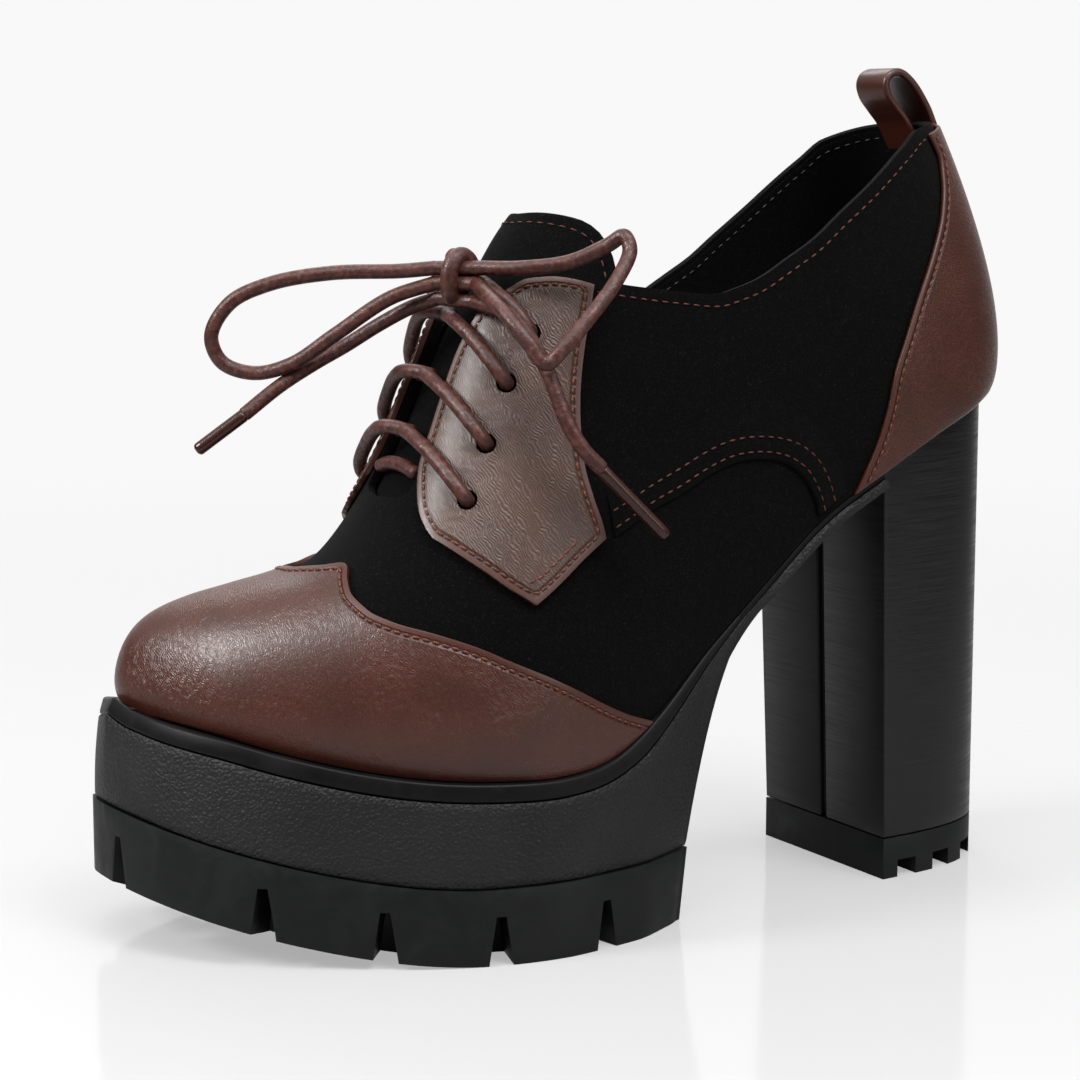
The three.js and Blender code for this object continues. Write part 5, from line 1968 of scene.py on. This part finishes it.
@dataclass(frozen=True)
class Heel:
    """The block heel and its lift."""

    width: float = 50
    depth: float = 40.5
    breast: float = 100
    lean: float = 3
    flare: float = 1.06
    lift: float = 10
    groove_width: float = 2.4
    groove_depth: float = 1.6
    slot_width: float = 6
    slot_height: float = 4.2
    slot_pitch: float = 12
    slot_first: float = 7.7
    slot_depth: float = 9
    slots: int = 3
    taper: float = 0.12
    overhang: float = 2
    sides: int = 40

    def half_width(self, width: float, t: float) -> float:
        """Return half the heel's width at a share of its depth."""
        return width / 2 * (1 - self.taper * t) * max(0.0, 1 - t ** 3) ** (1 / 2.2)

    def outline(self, width: float, depth: float, grooved: bool) -> list[tuple[float, float]]:
        """Return the D-shaped outline.

        Args:
            width: The heel's width at the breast.
            depth: Its depth.
            grooved: Whether the breast has its groove.

        Returns:
            The outline's points.
        """
        back = [math.sin(t * math.pi / 2) for t in shares(self.sides)]
        outer = [(self.half_width(width, t), t * depth) for t in back]
        inner = [(-x, y) for x, y in outer[:-1][::-1]]
        half = self.groove_width / 2
        groove = [(-half, 0.0), (-half, self.groove_depth), (half, self.groove_depth), (half, 0.0)]
        return outer + inner + (groove if grooved else [])

    def block(self) -> None:
        """Build the block, which follows the seat at its head."""
        breast_top = self.breast - self.lean
        depth_top = LAST.base_place(LAST_STATION) + self.overhang - breast_top
        foot = [Vector((x, self.breast + y, self.lift + LAST.gap))
                for x, y in self.outline(self.width, self.depth, True)]
        head = []
        for x, y in self.outline(self.width * self.flare, depth_top, True):
            at = LAST.station_at(breast_top + y)
            head.append(Vector((x, breast_top + y, LAST.base_height(at) - LAST.gap / LAST.base_normal(at).z)))
        rings = [[a.lerp(b, t) for a, b in zip(foot, head)] for t in shares(24)]
        finished(rounded(outline_piece("heel_cover", rings), 0.35, 50, 2), HEEL, Slot.HEEL, "heel")

    def lift_piece(self) -> None:
        """Build the lift, with slots cut in from each side."""
        outline = self.outline(self.width, self.depth, False)
        rings = [[Vector((x, self.breast + y, z)) for x, y in outline] for z in (0, self.lift / 2, self.lift)]
        piece = outline_piece("heel_lift", rings)
        half, below = self.slot_width / 2, -2.0
        shape = ((-half, below), (half, below), (half, self.slot_height), (-half, self.slot_height))
        cutters = []
        for i in range(self.slots):
            y = self.slot_first + i * self.slot_pitch
            inner = self.half_width(self.width, y / self.depth) - self.slot_depth
            for side in (1, -1):
                ends = [[Vector((side * x, self.breast + y + dy, z)) for dy, z in shape]
                        for x in (inner, self.width)]
                cutters.append(outline_piece("slot", ends))
        cut(piece, cutters)
        finished(rounded(piece, 0.3, 50, 2), RUBBER, Slot.RUBBER, "top_piece")

    def build(self) -> None:
        """Build the block and its lift."""
        self.block()
        self.lift_piece()


# The laces


@dataclass(frozen=True)
class Lacing:
    """The crossings, the knot, the bow's loops and its ends."""

    diameter: float = 3.3
    tip: float = 3.0
    slant: float = 0.1
    lift: float = 1.2
    bar_station: float = 7.72
    bar_across: tuple[float, ...] = (0.13, 0.06, 0, -0.06, -0.13)
    knot: tuple[float, float, float] = (8.5, -8.4, 148.0)
    waist: tuple[float, float, float] = (0.914, 0.394, 0)

    strand = ((0, -0.4, 0), (0, 0.35, 0), (0.015, 0.82, 0), (0.11, 1.08, 0), (0.4, 1.06, 0),
              (0.6, 1.02, 0.3), (0.78, 0.8, 1), (0.95, 0.4, 1), (1.14, 0.05, 0.6))
    top_strand = ((1, -0.4, 0), (1, 0.35, 0), (0.985, 0.82, 0), (0.89, 1.08, 0), (0.6, 1.04, -0.05),
                  (0.36, 0.72, -0.08), (0.15, 0.3, -0.08))
    bow = {
        "bow_loop_inner": (
            (5.5, -12, 150.3), (1, -18.4, 149.6), (-9, -30.7, 149), (-16, -42.2, 146.6),
            (-21, -49.7, 142.3), (-24, -53.1, 134.9), (-24, -50.6, 128.9), (-20, -44.8, 126.5),
            (-14, -38, 128.7), (-7, -30.6, 135.4), (0, -20.4, 143.6), (5.5, -12, 147)),
        "bow_loop_outer": (
            (13, -5.7, 150.5), (21.5, 0.6, 150.7), (28, 9.4, 152.1), (33, 16.1, 155.8),
            (36, 18.3, 157.8), (38, 18.6, 154.9), (40, 14.1, 148.6), (42, 6.1, 141), (42, -0.8, 134.2),
            (40.5, -3.9, 131.3), (38, -6.9, 135.9), (32, -9.1, 141.6), (14, -6.3, 147)),
        "lace_end_inner": (
            (5.5, -11.2, 143.6), (-1, -14.4, 141.4), (-7, -19.4, 137.4), (-12, -25.7, 132.4),
            (-14.5, -32, 128.6), (-16, -40.1, 123.7), (-17, -48.3, 117.7)),
        "lace_end_outer": (
            (13.5, -6.3, 143), (24.5, -4.1, 141), (31.5, -2.1, 135.3), (36.5, -1.1, 129.1),
            (41, 1.3, 118.2), (43, 4.1, 112.6), (44, 7.8, 108.6)),
    }
    tips = {
        "lace_tip_inner": ((-17, -48.8, 117.3), (-21, -57.8, 110)),
        "lace_tip_outer": ((44, 8.3, 107.9), (46, 22.7, 93.4)),
    }

    @property
    def above(self) -> float:
        """Return the height of a cord's middle where it lies on a facing."""
        return 2 * LAST.gap + LAST.overlay + self.diameter / 2

    def tube(self, name: str, points: Line, step: float = 0.6) -> tuple[Piece, list[Vector]]:
        """Build a cord of the lace's diameter.

        Args:
            name: The piece's name.
            points: What it passes.
            step: The distance between its rings.

        Returns:
            The cord and its line.
        """
        line = smooth_line(points, max(8, int(length_of(points) / step)))
        return tube_piece(name, line, self.diameter / 2), line

    def free_cords(self) -> None:
        knot = self.knot_piece()
        for name, rows in self.bow.items():
            piece, line = self.tube(f"{name}_cord", [Vector(row) for row in rows], 0.8)
            finished(piece, CORD, Slot.CORD, name)
            companions = [knot] if name == "bow_loop_inner" else []
            tip = name.replace("end", "tip")
            if tip in self.tips:
                ends = smooth_line([Vector(row) for row in self.tips[tip]], 12)
                companions.append(finished(tube_piece(f"{tip}_dip", ends, self.tip / 2), TIP, Slot.TIP, tip))
            path = [list(point * MM) for point in line]
            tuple(path[0])
            length_of(line) * MM

    def knot_piece(self) -> Piece:
        """Build the knot: a turn of the lace round the bow's waist, over the top crossing.

        Returns:
            The knot, as one piece.
        """
        place = Vector(self.knot)
        along = Vector(self.waist).normalized()
        upwards = Vector((0, 0, 1))
        front = along.cross(upwards)
        line = []
        for k in shares(64, -0.2, 0.95):
            turn = 2 * math.pi * k
            line.append(place + front * 3.3 * math.sin(turn) + upwards * (4.7 * math.cos(turn) + 0.4)
                        + along * (0.45 - k) * 3.4)
        wrap = tube_piece("knot_wrap", line, self.diameter / 2 * 1.2, sides=16)
        parts = [wrap]
        meets = (("bow_loop", 0, 1), ("bow_loop", -1, -2), ("lace_end", 0, 1))
        for n, (piece, end, after) in enumerate(meets):
            ends = []
            for side in Side:
                rows = self.bow[f"{piece}_{side.name.lower()}"]
                stop, away = Vector(rows[end]), Vector(rows[after])
                ends.append([stop, stop + (away - stop).normalized() * 0.9])
            (first, start), (second, finish) = ends
            core = smooth_line([start, first, (first + second) / 2, second, finish], 18)
            parts.append(tube_piece(f"knot_core_{n}", core, self.diameter / 2 * 0.97))
        with bpy.context.temp_override(active_object=wrap, object=wrap, selected_objects=parts,
                                       selected_editable_objects=parts):
            bpy.ops.object.join()
        return finished(wrap, CORD, Slot.CORD, "knot")

    def crossing(self, number: int, at: float, up: float) -> None:
        """Build one level: a strand from each side, the inner one on top.

        Args:
            number: The level's number.
            at: Its holes' station.
            up: Their height.
        """
        for side, lift in ((1, 0.0), (-1, self.lift)):
            points = []
            for i, (across, height, raised) in enumerate(self.strand):
                slant = self.slant * max(0, i - 3) / (len(self.strand) - 3)
                points.append(LAST.over(at + slant, side * (1 - up) * (1 - across),
                                        height * self.above + raised * lift))
            piece, _ = self.tube(f"strand_{number}_{Side(side).name.lower()}", points)
            finished(piece, CORD, Slot.CORD, *([f"lacing_{number}"] if side > 0 else []))

    def build(self) -> None:
        """Build the fixed strands and the bow."""
        self.free_cords()
        *lower, (at, up) = Eyestay.holes
        for number, hole in enumerate(lower, 1):
            self.crossing(number, *hole)
        outer, inner = [[LAST.over(at + slant, side * across * (1 - up), height * self.above)
                         for across, height, slant in self.top_strand] for side in (1, -1)]
        height = -(LAST.wall + Tongue.clear) + self.diameter / 2 + LAST.gap
        bar = [LAST.over(self.bar_station, across, height) for across in self.bar_across]
        for name, node, points in (("strand_4", "lacing_4", outer + inner[::-1]),
                                   ("strand_bottom", "lacing_bottom", bar)):
            piece, _ = self.tube(name, points)
            finished(piece, CORD, Slot.CORD, node)


# The studio


def way_to(azimuth: float, elevation: float) -> Vector:
    """Return the direction that an azimuth and an elevation in degrees point to."""
    a, e = math.radians(azimuth), math.radians(elevation)
    return Vector((math.sin(a) * math.cos(e), -math.cos(a) * math.cos(e), math.sin(e)))


@dataclass(frozen=True)
class Studio:
    """The floor, the camera, the sky and the soft lights."""

    place: tuple[float, float, float] = (0.5554, -0.3036, 0.1827)
    azimuth: float = 59.92
    elevation: float = 8.53
    lens: float = 93.33
    sensor: float = 36.0
    aim: tuple[float, float, float] = (0, 0.03, 0.09)
    zenith: float = 1.0
    horizon: float = 0.1
    wall: float = 0.85
    backdrop: float = 0.97
    white: str = "#fcfcfc"
    reach: float = 1200.0
    floor_height: float = -0.05

    lights = (
        # name, degrees to the camera's left, elevation, distance, size, watts
        ("key", 66, 33, 1.3, 0.38, 12.0),
        ("side", -40, 56, 1.3, 0.55, 8.0),
        ("fill", -60, 18, 1.5, 0.9, 3.6),
        ("top", 12, 66, 1.3, 1.0, 6.0),
        ("back", 165, 45, 1.5, 0.8, 4.0),
    )

    def camera(self) -> None:
        """Place the camera where the photograph was taken."""
        back = way_to(self.azimuth, self.elevation)
        turn = math.radians(self.azimuth)
        right = Vector((math.cos(turn), math.sin(turn), 0))
        data = bpy.data.cameras.new("camera")
        data.lens = self.lens
        data.sensor_width = self.sensor
        data.clip_start = 0.01
        eye = linked("camera", data)
        turned = Matrix((right, back.cross(right), back)).transposed().to_4x4()
        eye.matrix_world = Matrix.Translation(Vector(self.place)) @ turned
        bpy.context.scene.camera = eye

    def light(self, name: str, left: float, height: float, distance: float, size: float,
              watts: float) -> None:
        """Hang one soft light that faces the shoe.

        Args:
            name: Its name.
            left: How far to the camera's left, in degrees.
            height: Its elevation in degrees.
            distance: Its distance in metres.
            size: Its diameter in metres.
            watts: Its strength.
        """
        way = way_to(self.azimuth - left, height)
        data = bpy.data.lights.new(name, "AREA")
        data.shape = "DISK"
        data.size = size
        data.energy = watts
        lamp = linked(name, data)
        lamp.location = Vector(self.aim) + way * distance
        lamp.rotation_mode = "QUATERNION"
        lamp.rotation_quaternion = way.to_track_quat("Z", "Y")

    def sky(self) -> None:
        """Build the sky: white to the eye, and bright above and behind the shoe in what it lights."""
        world = bpy.data.worlds.new("studio")
        world.use_nodes = True
        tree = world.node_tree
        tree.nodes.clear()
        turn = math.radians(self.azimuth)
        away = (-math.sin(turn), math.cos(turn), 0)
        way = add(tree, "ShaderNodeTexCoord", out="Generated")
        behind = add(tree, "ShaderNodeVectorMath", (way, away), "Value", operation="DOT_PRODUCT")
        wall = add(tree, "range", (behind, 0.6, 0.95, 0.0, self.wall))
        height = add(tree, "ShaderNodeSeparateXYZ", (way,), "Z")
        dome = add(tree, "range", (height, 0.05, 0.95, self.horizon, self.zenith))
        lit = add(tree, "sum", (dome, wall), operation="MAXIMUM")
        seen = add(tree, "ShaderNodeLightPath", out="Is Camera Ray")
        strength = add(tree, "range", (seen, 0.0, 1.0, lit, self.backdrop), interpolation_type="LINEAR")
        shade = add(tree, "ShaderNodeBackground", {"Color": self.white, "Strength": strength})
        add(tree, "ShaderNodeOutputWorld", {"Surface": shade})
        bpy.context.scene.world = world

    def build(self) -> None:
        """Build the whole studio."""
        self.camera()
        for row in self.lights:
            self.light(*row)
        self.sky()
        bpy.context.scene.view_settings.view_transform = "Standard"
        bpy.context.scene.view_settings.look = "None"
        corners = [Vector((x * self.reach, y * self.reach, self.floor_height))
                   for x, y in ((-1, -1), (1, -1), (1, 1), (-1, 1))]
        floor = new_object("floor", corners, [[0, 1, 2, 3]])
        floor.data.materials.append(FLOOR.material())


def main() -> None:
    """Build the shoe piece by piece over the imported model."""
    logging.basicConfig(level=logging.INFO, format="%(message)s")
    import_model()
    Studio().build()
    Lacing().build()
    stitching = Stitching()
    Upper().build(stitching)
    ToeCap().build(stitching)
    for side in Side:
        Eyestay(side=side).build(stitching)
    Counter().build(stitching)
    PullLoop().build(Upper.collar_up(LAST_STATION, 1))
    Tongue().build(stitching)
    Sole().build()
    Heel().build()


if __name__ == "__main__":
    main()
